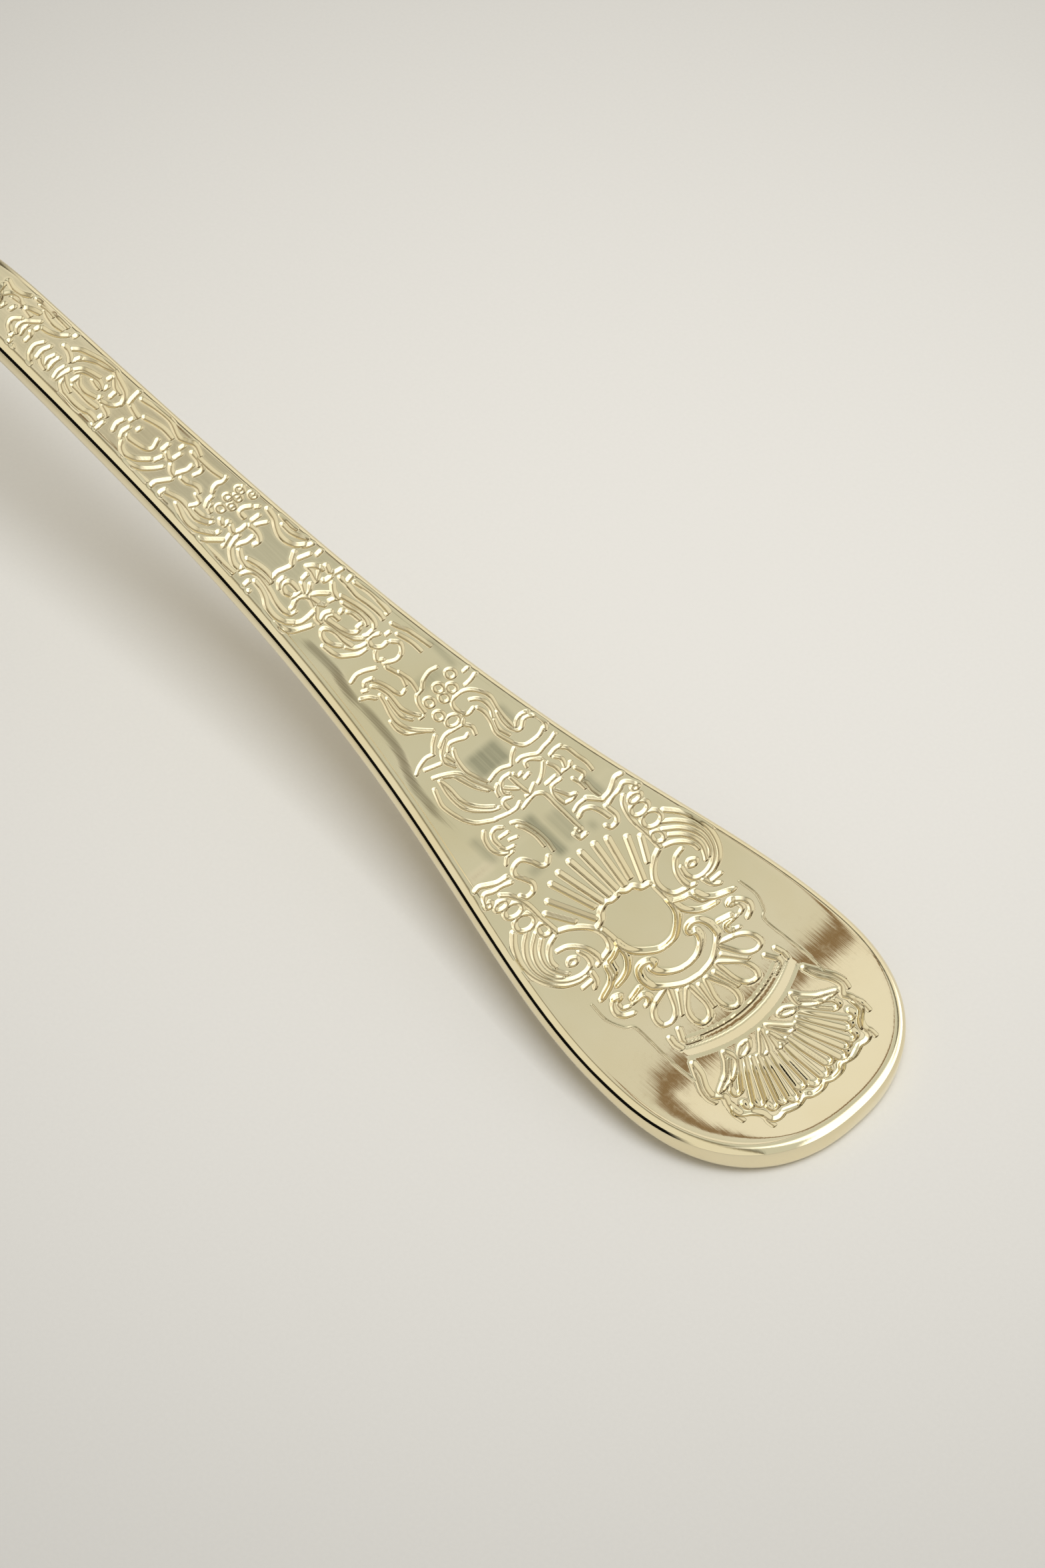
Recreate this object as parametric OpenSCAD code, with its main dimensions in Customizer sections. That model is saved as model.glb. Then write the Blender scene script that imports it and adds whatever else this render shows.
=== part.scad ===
/* [Handle] */
// Width of the handle across its wide end
end_w = 30.5; // [24:0.5:38]
// Distance from the handle's end to its widest point
end_reach = 16.3; // [12:0.1:22]
// Fullness of the rounded end, where 2 is an ellipse
end_fullness = 2.28; // [2:0.02:2.8]
// Width of the slim stem
stem_w = 7.3; // [5:0.1:8]
// Length over which the wide end draws in to the stem
draw_in = 24; // [18:0.5:28]
// Thickness of the handle at its wide end
end_t = 3.3; // [2.6:0.1:4.2]
// Thickness of the handle where the neck begins
neck_t = 4.3; // [3.6:0.1:5.2]
// Radius of the handle's upper edge
top_edge_r = 1.2; // [0.5:0.1:1.4]
// Radius of the handle's lower edge
low_edge_r = 0.8; // [0.4:0.1:1.2]
// How far the rounding of the underside reaches in from the sides of the stem
belly_w = 3.2; // [1:0.1:4]
// Height of the upright wall round the handle's end
end_wall = 0.9; // [0.4:0.1:1.1]
// Height of the upright wall along the stem
side_wall = 0.1; // [0.05:0.05:0.4]

/* [Side curve] */
// Tilt of the handle where its end leaves the table, in degrees
end_tilt = 3.6; // [1:0.1:6]
// Length of the upward sweep of the handle's end
sweep_len = 46.5; // [38:0.5:54]
// Radius of the upward sweep
sweep_r = 222; // [190:1:280]
// Length of the slowly arched stem
stem_len = 68; // [58:0.5:78]
// Radius of the stem's arch
stem_r = 1250; // [900:10:2000]
// Radius of the bend at the top of the neck
neck_r = 32; // [26:0.5:40]
// Slope of the ramp that goes down to the blade, in degrees
ramp_slope = 38; // [32:0.5:44]
// Radius of the bend where the ramp meets the flat blade
heel_r = 16; // [10:0.5:22]

/* [Tang joint] */
// Depth of the slot that takes the tang
slot_depth = 12; // [10:0.5:13]
// Solid length between the neck bend and the slot
fork_root = 2.5; // [1.5:0.1:4]
// Width of the neck at the slot's mouth
mouth_w = 11; // [9:0.1:14]
// Thickness of the neck at the slot's mouth
mouth_t = 3.4; // [3:0.1:4.2]
// Clearance between the tang and each wall of the slot
slot_gap = 0.05; // [0.02:0.01:0.1]
// Clearance between the tang's end and the bottom of the slot
slot_end_gap = 0.2; // [0.1:0.05:0.4]
// How far the tang's sides lie inside the neck's sides
tang_inset = 0.35; // [0.1:0.05:0.6]
// Diameter of the two tang pins
pin_d = 2.2; // [1.6:0.1:2.8]
// Clearance round a pin, on its radius
pin_gap = 0.02; // [0.01:0.01:0.04]
// Distance between the two tang pins
pin_pitch = 5.5; // [4.5:0.1:6]
// How far a pin's ends lie below the neck's faces
pin_recess = 0.05; // [0.02:0.01:0.1]
// Leg of the brazed fillet across the slot's mouth
braze_leg = 0.6; // [0.3:0.05:0.7]

/* [Blade] */
// Thickness of the blade
blade_t = 1.6; // [1.2:0.1:1.8]
// Width of the blade across its shoulders
blade_w = 56; // [46:0.5:66]
// Length of the flat blade, from the heel bend to the tip
blade_len = 100; // [90:0.5:115]
// Distance from the tip to the widest part of the blade
tip_reach = 74; // [60:0.5:82]
// Fullness of the blade's outline towards the tip, where 2 is an ellipse
tip_fullness = 1.76; // [1.6:0.02:2.4]
// Width of the ground bevel round the blade
bevel_w = 2.2; // [1:0.1:3]
// Thickness left at the blade's edge
edge_t = 0.7; // [0.4:0.05:0.9]
// Softened lower corner of the blade's edge
edge_soft = 0.2; // [0.1:0.05:0.3]

/* [Hidden] */

gold = "#d8c391";
end_steps = 14;
draw_steps = 30;
neck_steps = 20;
tip_steps = 20;
shoulder_steps = 26;
edge_steps = 4;
belly_run = 20;
belly_part = 0.6;
cut_extra = 1;
deg_per_rad = 180 / PI;

// The side curve is a chain of runs from the handle's end to the blade's tip, each [length, turn in degrees].
sweep_turn = sweep_len / sweep_r * deg_per_rad;
stem_turn = -stem_len / stem_r * deg_per_rad;
neck_turn = -(end_tilt + sweep_turn + stem_turn + ramp_slope);
neck_len = -neck_turn / deg_per_rad * neck_r;
heel_len = ramp_slope / deg_per_rad * heel_r;

// The lowest point of the handle's rounded end lies on the table.
start_z = end_t / 2 * cos(end_tilt) - low_edge_r * sin(end_tilt);

// The ramp is as long as it takes to bring the blade's underside down to the table.
upper_runs = [[sweep_len, sweep_turn], [stem_len, stem_turn], [neck_len, neck_turn]];
neck_foot = run_start(upper_runs, len(upper_runs));
heel_drop = heel_r * (1 - cos(ramp_slope));
ramp_len = (neck_foot[2] - heel_drop - blade_t / 2) / sin(ramp_slope);
runs = concat(upper_runs, [[ramp_len, 0], [heel_len, ramp_slope], [blade_len, 0]]);
starts = [for (k = [0 : len(runs)]) run_start(runs, k)];

// Stations along the curve, as lengths from the handle's end
neck_s = sweep_len + stem_len;
ramp_s = neck_s + neck_len;
mouth_s = ramp_s + fork_root + slot_depth;
tang_s = mouth_s - slot_depth + slot_end_gap;
tip_s = ramp_s + ramp_len + heel_len + blade_len;
wide_s = tip_s - tip_reach;
handle_end_x = starts[len(runs)][1] / 2;
slot_t = blade_t + 2 * slot_gap;
pin_places = [slot_depth / 2 - pin_pitch / 2, slot_depth / 2 + pin_pitch / 2];

function ease(q) = let (c = min(max(q, 0), 1)) c * c * (3 - 2 * c);
function cosh(q) = (exp(q) + exp(-q)) / 2;
function chord(length, turn) =
    abs(turn) < 0.000001 ? length : 2 * length * deg_per_rad / turn * sin(turn / 2);

// Where run k starts: [length so far, distance from the end, height, heading in degrees]
function run_start(list, k) =
    k == 0 ? [0, 0, start_z, end_tilt] :
    let (before = run_start(list, k - 1), run = list[k - 1])
    let (c = chord(run[0], run[1]), aim = before[3] + run[1] / 2)
    [before[0] + run[0], before[1] + c * cos(aim), before[2] + c * sin(aim), before[3] + run[1]];

function run_at(s, k = 0) = k == len(runs) - 1 || s < starts[k + 1][0] ? k : run_at(s, k + 1);

// A point of the part, from its length along the curve, its place across and its height off the mid-plane
function place(s, y, off) =
    let (k = run_at(s), from = starts[k], u = s - from[0])
    let (turn = runs[k][1] * u / runs[k][0], heading = from[3] + turn)
    let (c = chord(u, turn), aim = from[3] + turn / 2)
    [
        handle_end_x - from[1] - c * cos(aim) + off * sin(heading),
        y,
        from[2] + c * sin(aim) + off * cos(heading)
    ];

function handle_half(s) =
    stem_w / 2
    + (end_w - stem_w) / 2 / cosh((s - end_reach) / draw_in)
    + (mouth_w - stem_w) / 2 * ease((s - neck_s) / (mouth_s - neck_s));

function handle_thick(s) =
    s < neck_s ? end_t + (neck_t - end_t) * s / neck_s :
    neck_t + (mouth_t - neck_t) * ease((s - neck_s) / (mouth_s - neck_s));

// One side of the handle's flat outline, from its end to the slot's mouth
handle_side = concat(
    [for (i = [0 : end_steps])
        let (a = 90 * i / end_steps, power = 2 / end_fullness)
        [end_reach * (1 - pow(cos(a), power)), end_w / 2 * pow(sin(a), power)]],
    [for (i = [1 : draw_steps])
        let (s = end_reach + (neck_s - end_reach) * i / draw_steps)
        [s, handle_half(s)]],
    [for (i = [1 : neck_steps])
        let (s = neck_s + (mouth_s - neck_s) * i / neck_steps)
        [s, handle_half(s)]]
);

// How far along the neck a place is, from 0 where the neck begins to 1 where the slot begins
function fork_at(s) = ease((s - neck_s) / (mouth_s - slot_depth - neck_s));

// How far the rounding of the underside reaches in, and the height of its upper end off the mid-plane
function belly_at(s) =
    low_edge_r + (1 - fork_at(s)) * min(belly_w * ease(s / belly_run), belly_part * handle_half(s));
function belly_top(s) =
    let (wall = end_wall + (side_wall - end_wall) * ease(s / belly_run), half_t = handle_thick(s) / 2)
    (half_t - top_edge_r - wall) * (1 - fork_at(s)) - (half_t - low_edge_r) * fork_at(s);

// The handle's cross-section, from its lower face to its upper face
edge_angles = [for (i = [0 : edge_steps]) 90 * i / edge_steps];
handle_layers = concat(
    [for (a = edge_angles)
        plate_loop(handle_side, 1,
            [for (p = handle_side) belly_at(p[0]) * (1 - sin(a))],
            [for (p = handle_side)
                let (top = belly_top(p[0]))
                top - (top + handle_thick(p[0]) / 2) * cos(a)])],
    [for (a = edge_angles)
        plate_loop(handle_side, 1,
            [for (p = handle_side) top_edge_r * (1 - cos(a))],
            [for (p = handle_side) handle_thick(p[0]) / 2 - top_edge_r * (1 - sin(a))])]
);

// One side of the blade's flat outline, from its tip to the end of its tang
function blade_half(s) =
    s < mouth_s ? handle_half(s) - tang_inset :
    let (root = handle_half(mouth_s) - tang_inset, q = (s - mouth_s) / (wide_s - mouth_s))
    root + (blade_w / 2 - root) * pow(sin(90 * ease(q)), 1.4);

blade_side = concat(
    [for (i = [0 : tip_steps])
        let (a = 90 * i / tip_steps, power = 2 / tip_fullness)
        [tip_s - tip_reach * (1 - pow(cos(a), power)), blade_w / 2 * pow(sin(a), power)]],
    [for (i = [1 : shoulder_steps])
        let (s = wide_s + (mouth_s - wide_s) * i / shoulder_steps)
        [s, blade_half(s)]],
    [[tang_s, blade_half(tang_s)]]
);

// The bevel fades out along the heel, so the tang is square.
function bevel_at(s) = bevel_w * ease((s - mouth_s) / (wide_s - mouth_s));

blade_layers = [
    for (e = [[edge_soft, 0, 0], [0, edge_soft, 0], [0, edge_t, 0], [0, blade_t, 1]])
    plate_loop(blade_side, -1,
        [for (p = blade_side) e[0] + e[2] * bevel_at(p[0])],
        [for (p = blade_side) e[1] - blade_t / 2])
];

// The outward direction at point i of a side, where way is 1 if s grows along the side and -1 if it falls
function outward(side, i, way) =
    i == 0 ? [-way, 0] :
    i == len(side) - 1 ? [0, 1] :
    let (t = side[i + 1] - side[i - 1])
    way * [-t[1], t[0]] / norm(t);

// A closed ring of points round a plate: one side, the round end, and the other side
function plate_loop(side, way, inset, off) =
    let (n = len(side) - 1)
    let (drawn = [for (i = [0 : n]) side[i] - inset[i] * outward(side, i, way)])
    [for (j = [-n : n])
        let (i = abs(j), y = j < 0 ? -drawn[i][1] : j > 0 ? drawn[i][1] : 0)
        place(drawn[i][0], y, off[i])];

// A solid plate made of rings stacked from its lower face to its upper face
module plate(layers, way) {
    m = len(layers[0]);
    n = (m - 1) / 2;
    top = (len(layers) - 1) * m;
    walls = [
        for (k = [0 : len(layers) - 2], j = [0 : m - 1])
        let (a = k * m + j, b = k * m + (j + 1) % m)
        each [[a, b, a + m], [b, b + m, a + m]]
    ];
    low_cap = [
        for (i = [0 : n - 1])
        let (l = n + i, r = n - i)
        each i == 0 ? [[l, r - 1, l + 1]] : [[l, r, l + 1], [r, r - 1, l + 1]]
    ];
    high_cap = [for (f = low_cap) [top + f[0], top + f[2], top + f[1]]];
    faces = concat(walls, low_cap, high_cap);
    polyhedron(
        points = [for (ring = layers) each ring],
        faces = way > 0 ? faces : [for (f = faces) [f[0], f[2], f[1]]],
        convexity = 6
    );
}

// The frame of the slot's mouth: x goes up the ramp into the neck, z is the ramp's upper side
module at_mouth() {
    translate(place(mouth_s, 0, 0))
        rotate([0, -ramp_slope, 0])
            children();
}

module pin_hole(x) {
    at_mouth()
        translate([x, 0, -neck_t])
            cylinder(d = pin_d + 2 * pin_gap, h = 2 * neck_t, $fn = 48);
}

module tang_pin(x) {
    length = handle_thick(mouth_s - x) - 2 * pin_recess;
    at_mouth()
        translate([x, 0, -length / 2])
            cylinder(d = pin_d, h = length, $fn = 48);
}

module handle() {
    color(gold)
        difference() {
            plate(handle_layers, 1);
            at_mouth()
                translate([-cut_extra, -mouth_w, -slot_t / 2])
                    cube([slot_depth + cut_extra, 2 * mouth_w, slot_t]);
            for (x = pin_places)
                pin_hole(x);
        }
}

module blade() {
    color(gold)
        difference() {
            plate(blade_layers, -1);
            for (x = pin_places)
                pin_hole(x);
        }
}

module front_tang_pin() {
    color(gold)
        tang_pin(pin_places[0]);
}

module rear_tang_pin() {
    color(gold)
        tang_pin(pin_places[1]);
}

// A fillet on each side of the blade, where it leaves the slot
module braze_seam() {
    seam_w = mouth_w - 2 * max(top_edge_r, low_edge_r, tang_inset);
    color(gold)
        at_mouth()
            for (side = [0, 1])
                mirror([0, 0, side])
                    translate([0, seam_w / 2, blade_t / 2])
                        rotate([90, 0, 0])
                            linear_extrude(seam_w)
                                intersection() {
                                    circle(r = braze_leg, $fn = 48);
                                    translate([-braze_leg, 0])
                                        square(braze_leg);
                                }
}

handle();
blade();
front_tang_pin();
rear_tang_pin();
braze_seam();
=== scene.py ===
# %% [markdown]
# # A gilded cake server
# This lesson dresses a cake server: a bar handle with a stamped relief, a blade, and the joint between
# them. The construction comes from the packed frame. Every piece here is built on the same side curve as
# the solids, so nothing has to be fitted by eye.

# %% Load the frame
import itertools
import math

import bpy
import numpy as np
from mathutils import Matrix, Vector


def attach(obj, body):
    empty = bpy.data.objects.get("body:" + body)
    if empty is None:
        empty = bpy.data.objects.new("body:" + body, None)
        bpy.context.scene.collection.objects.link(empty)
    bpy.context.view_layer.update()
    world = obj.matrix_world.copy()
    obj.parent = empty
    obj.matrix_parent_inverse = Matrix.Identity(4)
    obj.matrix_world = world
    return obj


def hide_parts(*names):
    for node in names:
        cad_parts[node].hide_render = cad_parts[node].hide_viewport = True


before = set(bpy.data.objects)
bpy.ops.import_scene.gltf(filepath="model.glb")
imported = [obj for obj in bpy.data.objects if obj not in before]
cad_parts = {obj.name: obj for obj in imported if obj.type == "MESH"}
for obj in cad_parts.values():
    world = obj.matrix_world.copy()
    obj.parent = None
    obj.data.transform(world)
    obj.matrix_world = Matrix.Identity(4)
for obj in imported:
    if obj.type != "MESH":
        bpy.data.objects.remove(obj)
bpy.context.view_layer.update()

# %% [markdown]
# ## The side curve
# Seen from the side, the server is one chain of arcs and straight runs: the end sweeps up from the table,
# the stem arches slowly, the neck bends over, and a straight ramp lands in the flat blade. A curve object
# with a bevel could follow it, but its section could not change as freely as this handle's does. So the
# curve is a small function instead: it takes a length along the server, a place across it and a height off
# its middle, in millimetres, and gives a point in metres.

# %% The chain of runs, in millimetres
MM = 0.001
END_T, LOW_EDGE_R, BLADE_T = 3.3, 0.8, 1.6
END_TILT, SWEEP_LEN, SWEEP_R = 3.6, 46.5, 222.0
STEM_LEN, STEM_R, NECK_R = 68.0, 1250.0, 32.0
RAMP_SLOPE, HEEL_R, BLADE_LEN = 38.0, 16.0, 100.0
FORK_ROOT, SLOT_DEPTH = 2.5, 12.0


def build_side_curve():
    """The chain of runs: length, turn in radians, and where each run starts."""
    sweep, stem = SWEEP_LEN / SWEEP_R, -STEM_LEN / STEM_R
    tilt, slope = math.radians(END_TILT), math.radians(RAMP_SLOPE)
    neck = -(tilt + sweep + stem + slope)
    low = END_T / 2 * math.cos(tilt) - LOW_EDGE_R * math.sin(tilt)
    runs = [(SWEEP_LEN, sweep), (STEM_LEN, stem), (-neck * NECK_R, neck)]
    starts = [(0.0, 0.0, low, tilt)]

    def follow(length, turn):
        s, x, z, heading = starts[-1]
        chord = length if turn == 0 else 2 * length / turn * math.sin(turn / 2)
        aim = heading + turn / 2
        starts.append((s + length, x + chord * math.cos(aim), z + chord * math.sin(aim), heading + turn))

    for length, turn in runs:
        follow(length, turn)
    drop = starts[-1][2] - HEEL_R * (1 - math.cos(slope)) - BLADE_T / 2
    for run in [(drop / math.sin(slope), 0.0), (slope * HEEL_R, slope), (BLADE_LEN, 0.0)]:
        runs.append(run)
        follow(*run)
    return np.array(runs), np.array(starts)


RUNS, STARTS = build_side_curve()
NECK_S, RAMP_S, TIP_S = STARTS[2, 0], STARTS[3, 0], STARTS[-1, 0]
SLOT_S = RAMP_S + FORK_ROOT
MOUTH_S = SLOT_S + SLOT_DEPTH
END_X = STARTS[-1, 1] / 2
print("length along the curve to the mouth and the tip:", round(MOUTH_S, 1), round(TIP_S, 1), "mm")


# %% Points on the curve
def place(s, y, off):
    """Points in metres from lengths along the curve, places across and heights off the middle."""
    s, y, off = np.broadcast_arrays(np.asarray(s, float), y, off)
    k = np.clip(np.searchsorted(STARTS[:, 0], s, side="right") - 1, 0, len(RUNS) - 1)
    u = s - STARTS[k, 0]
    turn = RUNS[k, 1] * u / RUNS[k, 0]
    chord = u * np.sinc(turn / (2 * math.pi))
    aim, heading = STARTS[k, 3] + turn / 2, STARTS[k, 3] + turn
    x = END_X - STARTS[k, 1] - chord * np.cos(aim) + off * np.sin(heading)
    z = STARTS[k, 2] + chord * np.sin(aim) + off * np.cos(heading)
    return np.stack([x, y, z], axis=-1) * MM


print("the neck starts at", place(NECK_S, 0, 0).round(4), "m")

# %% [markdown]
# ## Outlines
# The handle's outline is a blunt rounded end that draws in to a slim stem and widens again at the neck.
# The blade's is a leaf. They could be traced as curves, but formulas can be sampled as finely as a mesh
# needs.

# %% Outline formulas
END_W, END_REACH, END_FULLNESS = 30.5, 16.3, 2.28
STEM_W, DRAW_IN = 7.3, 24.0
NECK_T, MOUTH_W, MOUTH_T = 4.3, 11.0, 3.4


def ease(q):
    """From 0 to 1, with a soft start and a soft end."""
    q = np.clip(q, 0, 1)
    return q * q * (3 - 2 * q)


def handle_half(s):
    """Half the handle's width, past its rounded end."""
    drawn_in = (END_W - STEM_W) / 2 / np.cosh((s - END_REACH) / DRAW_IN)
    return STEM_W / 2 + drawn_in + (MOUTH_W - STEM_W) / 2 * ease((s - NECK_S) / (MOUTH_S - NECK_S))


def handle_thick(s):
    """The bar's thickness, which grows slowly to the neck and is drawn down at the mouth."""
    return np.where(s < NECK_S, END_T + (NECK_T - END_T) * s / NECK_S,
                    NECK_T + (MOUTH_T - NECK_T) * ease((s - NECK_S) / (MOUTH_S - NECK_S)))


def rounded_end(steps, reach, width, fullness):
    """Distances from a rounded end and half widths, from its middle to its widest place."""
    a = np.linspace(0, math.pi / 2, steps + 1)
    return reach * (1 - np.cos(a) ** (2 / fullness)), width / 2 * np.sin(a) ** (2 / fullness)


def outward(s, y, way):
    """Unit directions out of an outline; its first point is on the axis and its last on a square end."""
    ts, ty = np.gradient(s), np.gradient(y)
    length = np.hypot(ts, ty)
    ns, ny = -way * ty / length, way * ts / length
    ns[0], ny[0], ns[-1], ny[-1] = -way, 0, 0, 1
    return ns, ny


print("half the handle's width at the neck:", round(handle_half(NECK_S), 2), "mm")

# %% [markdown]
# ## The stamped relief
# The die pressed a line drawing into the handle's upper face: every scroll, petal and leaf is a polished
# island bounded by narrow sunken lines. Sculpting it by hand would not give crisp lines, and a bump map
# would not change the mesh. So the lines are drawn as strokes in millimetres, along and across the handle,
# and turned into a map of the distance to the nearest line. The depth at any place follows from that
# distance.

# %% A drawing board for sunken lines
CELL, LINE_STEP = 0.05, 0.12
BOARD_S, BOARD_Y = 126.0, 15.5
FAR, HALO, TINY = 9.0, 2.6, 1e-9
board = np.full((int(BOARD_S / CELL) + 1, int(2 * BOARD_Y / CELL) + 1), FAR)
core = np.full_like(board, FAR)
board_s = np.arange(board.shape[0]) * CELL
board_y = np.arange(board.shape[1]) * CELL - BOARD_Y
print("drawing board:", board.shape, "cells")


# %% Smooth lines and the board round them
def smooth_line(points, closed=False):
    """A smooth line through a few given points."""
    p = np.array(points, float)
    if len(p) < 3:
        return p
    if closed:
        ring = np.vstack([p[-1], p, p[0], p[1]])
    else:
        ring = np.vstack([2 * p[0] - p[1], p, 2 * p[-1] - p[-2]])
    line = []
    for a, b, c, d in zip(ring, ring[1:], ring[2:], ring[3:]):
        t = np.linspace(0, 1, max(3, int(np.hypot(*(c - b)) / LINE_STEP)), endpoint=False)[:, None]
        line.append(0.5 * (2 * b + (c - a) * t + (2 * a - 5 * b + 4 * c - d) * t**2
                           + (3 * b - a - 3 * c + d) * t**3))
    return np.vstack(line + [p[:1] if closed else p[-1:]])


def around(a, b):
    """The board's part round a short line, the distances to it there, and their share along the handle."""
    first = (np.minimum(a, b) - HALO + (0, BOARD_Y)) / CELL
    last = (np.maximum(a, b) + HALO + (0, BOARD_Y)) / CELL + 2
    i0, j0 = np.clip(first, 0, board.shape).astype(int)
    i1, j1 = np.clip(last, 0, board.shape).astype(int)
    ds, dy = board_s[i0:i1, None] - a[0], board_y[None, j0:j1] - a[1]
    run = b - a
    t = np.clip((ds * run[0] + dy * run[1]) / max(run @ run, TINY), 0, 1)
    along = ds - t * run[0]
    return (slice(i0, i1), slice(j0, j1)), np.hypot(along, dy - t * run[1]), along


print("cells round a point:", around(np.zeros(2), np.zeros(2))[1].shape)


# %% Grooves
STEEPER = 1.5


def groove(points, half_width=0.2, closed=False):
    """Draws one sunken line, shallow if below 0; its wall that faces the neck is the steeper one."""
    line = smooth_line(points, closed)
    for a, b in zip(line, line[1:]):
        part, gap, along = around(a, b)
        steep = 1 + STEEPER * np.clip(-along / np.maximum(gap, CELL), 0, 1) ** 2
        board[part] = np.minimum(board[part], gap * steep - half_width)
        core[part] = np.minimum(core[part], gap + max(0, -half_width))


def both(points, half_width=0.2, closed=False):
    """Draws a line and its mirror image across the handle's middle."""
    groove(points, half_width, closed)
    groove([(s, -y) for s, y in points], half_width, closed)


def tell(what):
    """Prints how much of the board lies in lines once a motif is drawn."""
    print(what, "drawn, lines so far:", round((board < 0).sum() * CELL**2, 1), "square mm")


print("a wall that faces the neck is", 1 + STEEPER, "times as steep")

# %% [markdown]
# ### The shell at the end
# A fan of ribs with a scalloped edge fills the rounded end. The ribs are parted by straight lines that all
# point to one middle, so they are drawn by angle and distance; small leaves fill the hinge.

# %% Ribs of the shell
FAN_S, FAN_INNER = 16.0, 6.2
FAN_GAPS = (0, 7, 14, 20.1, 25.2, 30.8, 36.5, 41.8, 48)
RIB_TIPS = (11.4, 10.9, 11.7, 11.5, 11.8, 11.2, 11.3, 9.9)
LAST_GAP, RIB_LINE, RIB_SIDE = 9.6, 0.1, 0.2
TIP_ROOT, TIP_SIDE, TIP_CROWN = 0.4, 0.05, 0.1


def spoke(middle, angle, radius, aside=0):
    """A place by its angle from the middle line, its distance from a middle, and its place aside."""
    a = math.radians(angle)
    return middle - radius * math.cos(a) + aside * math.sin(a), radius * math.sin(a) + aside * math.cos(a)


def on_fan(angle, radius):
    """A place on the shell."""
    return spoke(FAN_S, angle, radius)


for a, b, tip in zip(FAN_GAPS, FAN_GAPS[1:], RIB_TIPS):
    root, shoulder, side = tip - TIP_ROOT, tip - TIP_SIDE, RIB_SIDE * (b - a)
    both([on_fan(a, FAN_INNER), on_fan(a, root)], RIB_LINE)
    both([on_fan(a, root), on_fan(a + side, shoulder), on_fan((a + b) / 2, tip + TIP_CROWN),
          on_fan(b - side, shoulder), on_fan(b, root)], RIB_LINE)
both([on_fan(FAN_GAPS[-1], FAN_INNER), on_fan(FAN_GAPS[-1], LAST_GAP)], RIB_LINE)
tell("ribs")

# %% Scalloped edge and leaves
FAINT = -0.08
both([(13.9, 7.6), (12.6, 7.9), (11.4, 8.6), (10.3, 8.8), (9.5, 8.1), (8.6, 8.4), (7.3, 8.3), (6.6, 7.4),
      (5.9, 6.9), (4.9, 6.7), (4.5, 6.0), (4.6, 5.2), (4.4, 4.6), (4.2, 3.7), (4.5, 2.6), (4.0, 1.9),
      (3.9, 0.9), (4.3, 0)])
both([(6.6, 8.65), (7.5, 8.75), (8.4, 8.55), (9.2, 8.15)], 0.09)
both([(9.6, 9.1), (10.4, 9.3), (11.4, 9.1), (12.4, 8.55), (13.8, 7.75)], 0.1)
both([(4.3, 7.0), (5.0, 7.05), (5.6, 6.85)], 0.08)
both([(12.4, 8.75), (14.4, 8.95), (17, 8.85), (20, 8.75), (20.8, 9.5), (22.5, 10.2), (24.5, 10.05)], FAINT)
both([(10.1, 8.0), (11.0, 6.3), (12.0, 5.2), (12.8, 4.6), (11.6, 4.3), (10.9, 4.9), (10.3, 6.2)],
     0.14, closed=True)
both([(10.7, 6.8), (11.25, 5.7), (12.0, 4.85)])
groove([(9.6, 0.4), (10.3, 0.2), (11.4, -0.1), (10.3, -0.5), (9.6, -0.6)], 0.12, closed=True)
both([(10.2, 2.3), (10.9, 1.6), (12.1, 0.4), (10.8, 0.9), (10.0, 1.5)], 0.12, closed=True)
both([(11.5, 3.9), (12.2, 3.0), (12.1, 2.1), (11.6, 2.4), (11.3, 3.2)], 0.12, closed=True)
tell("shell")

# %% [markdown]
# ### Band, rosette and disc
# Behind the shell runs a bowed band, then half a rosette whose petals are pointed towards the scroll they
# sit on, then a plain disc with rays. One petal is drawn once and turned to its five places.

# %% Band and rosette
BOW, BOW_POINTS, BAND_LINE_S, BAND_LINE_REACH, BAND_LINE = 0.036, 17, 14.75, 6.6, -0.04
ROSE_S, PETAL_START, PETAL_TIP = 23.8, 4.4, 8.5
PETAL_SIDE = [(5.4, 0.55), (6.4, 0.95), (7.3, 1.02), (8.1, 0.7)]
PETAL_ANGLES, GAP_ANGLES, GAP_REACH = (-51.5, -25.5, 0, 25.5, 51.5), (-38.5, -12.8, 12.8, 38.5), (4.7, 7.2)
reach = np.linspace(-BAND_LINE_REACH, BAND_LINE_REACH, BOW_POINTS)
groove([(BAND_LINE_S + BOW * y * y, y) for y in reach], BAND_LINE)
both([(15.2, 5.2), (15.9, 6.5), (17.3, 5.9)], 0.16)
both([(15.7, 7.2), (16.4, 7.35), (17.2, 7.2)], 0.16)
petal = [(PETAL_START, 0), *PETAL_SIDE, (PETAL_TIP, 0), *[(r, -aside) for r, aside in PETAL_SIDE[::-1]]]
for angle in PETAL_ANGLES:
    groove([spoke(ROSE_S, angle, r, aside) for r, aside in petal], 0.15, closed=True)
for angle in GAP_ANGLES:
    groove([spoke(ROSE_S, angle, r) for r in GAP_REACH])
both([(19.9, 0), (20.3, 2.0), (21.7, 4.1), (22.4, 4.5), (23.3, 4.55), (24.1, 4.1), (24.35, 3.4), (24.2, 2.7),
      (23.8, 2.45), (23.5, 2.75)])
both([(23.5, 3.05), (22.9, 2.9), (22.2, 2.3), (21.6, 1.2), (21.4, 0)])
tell("band and rosette")

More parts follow.
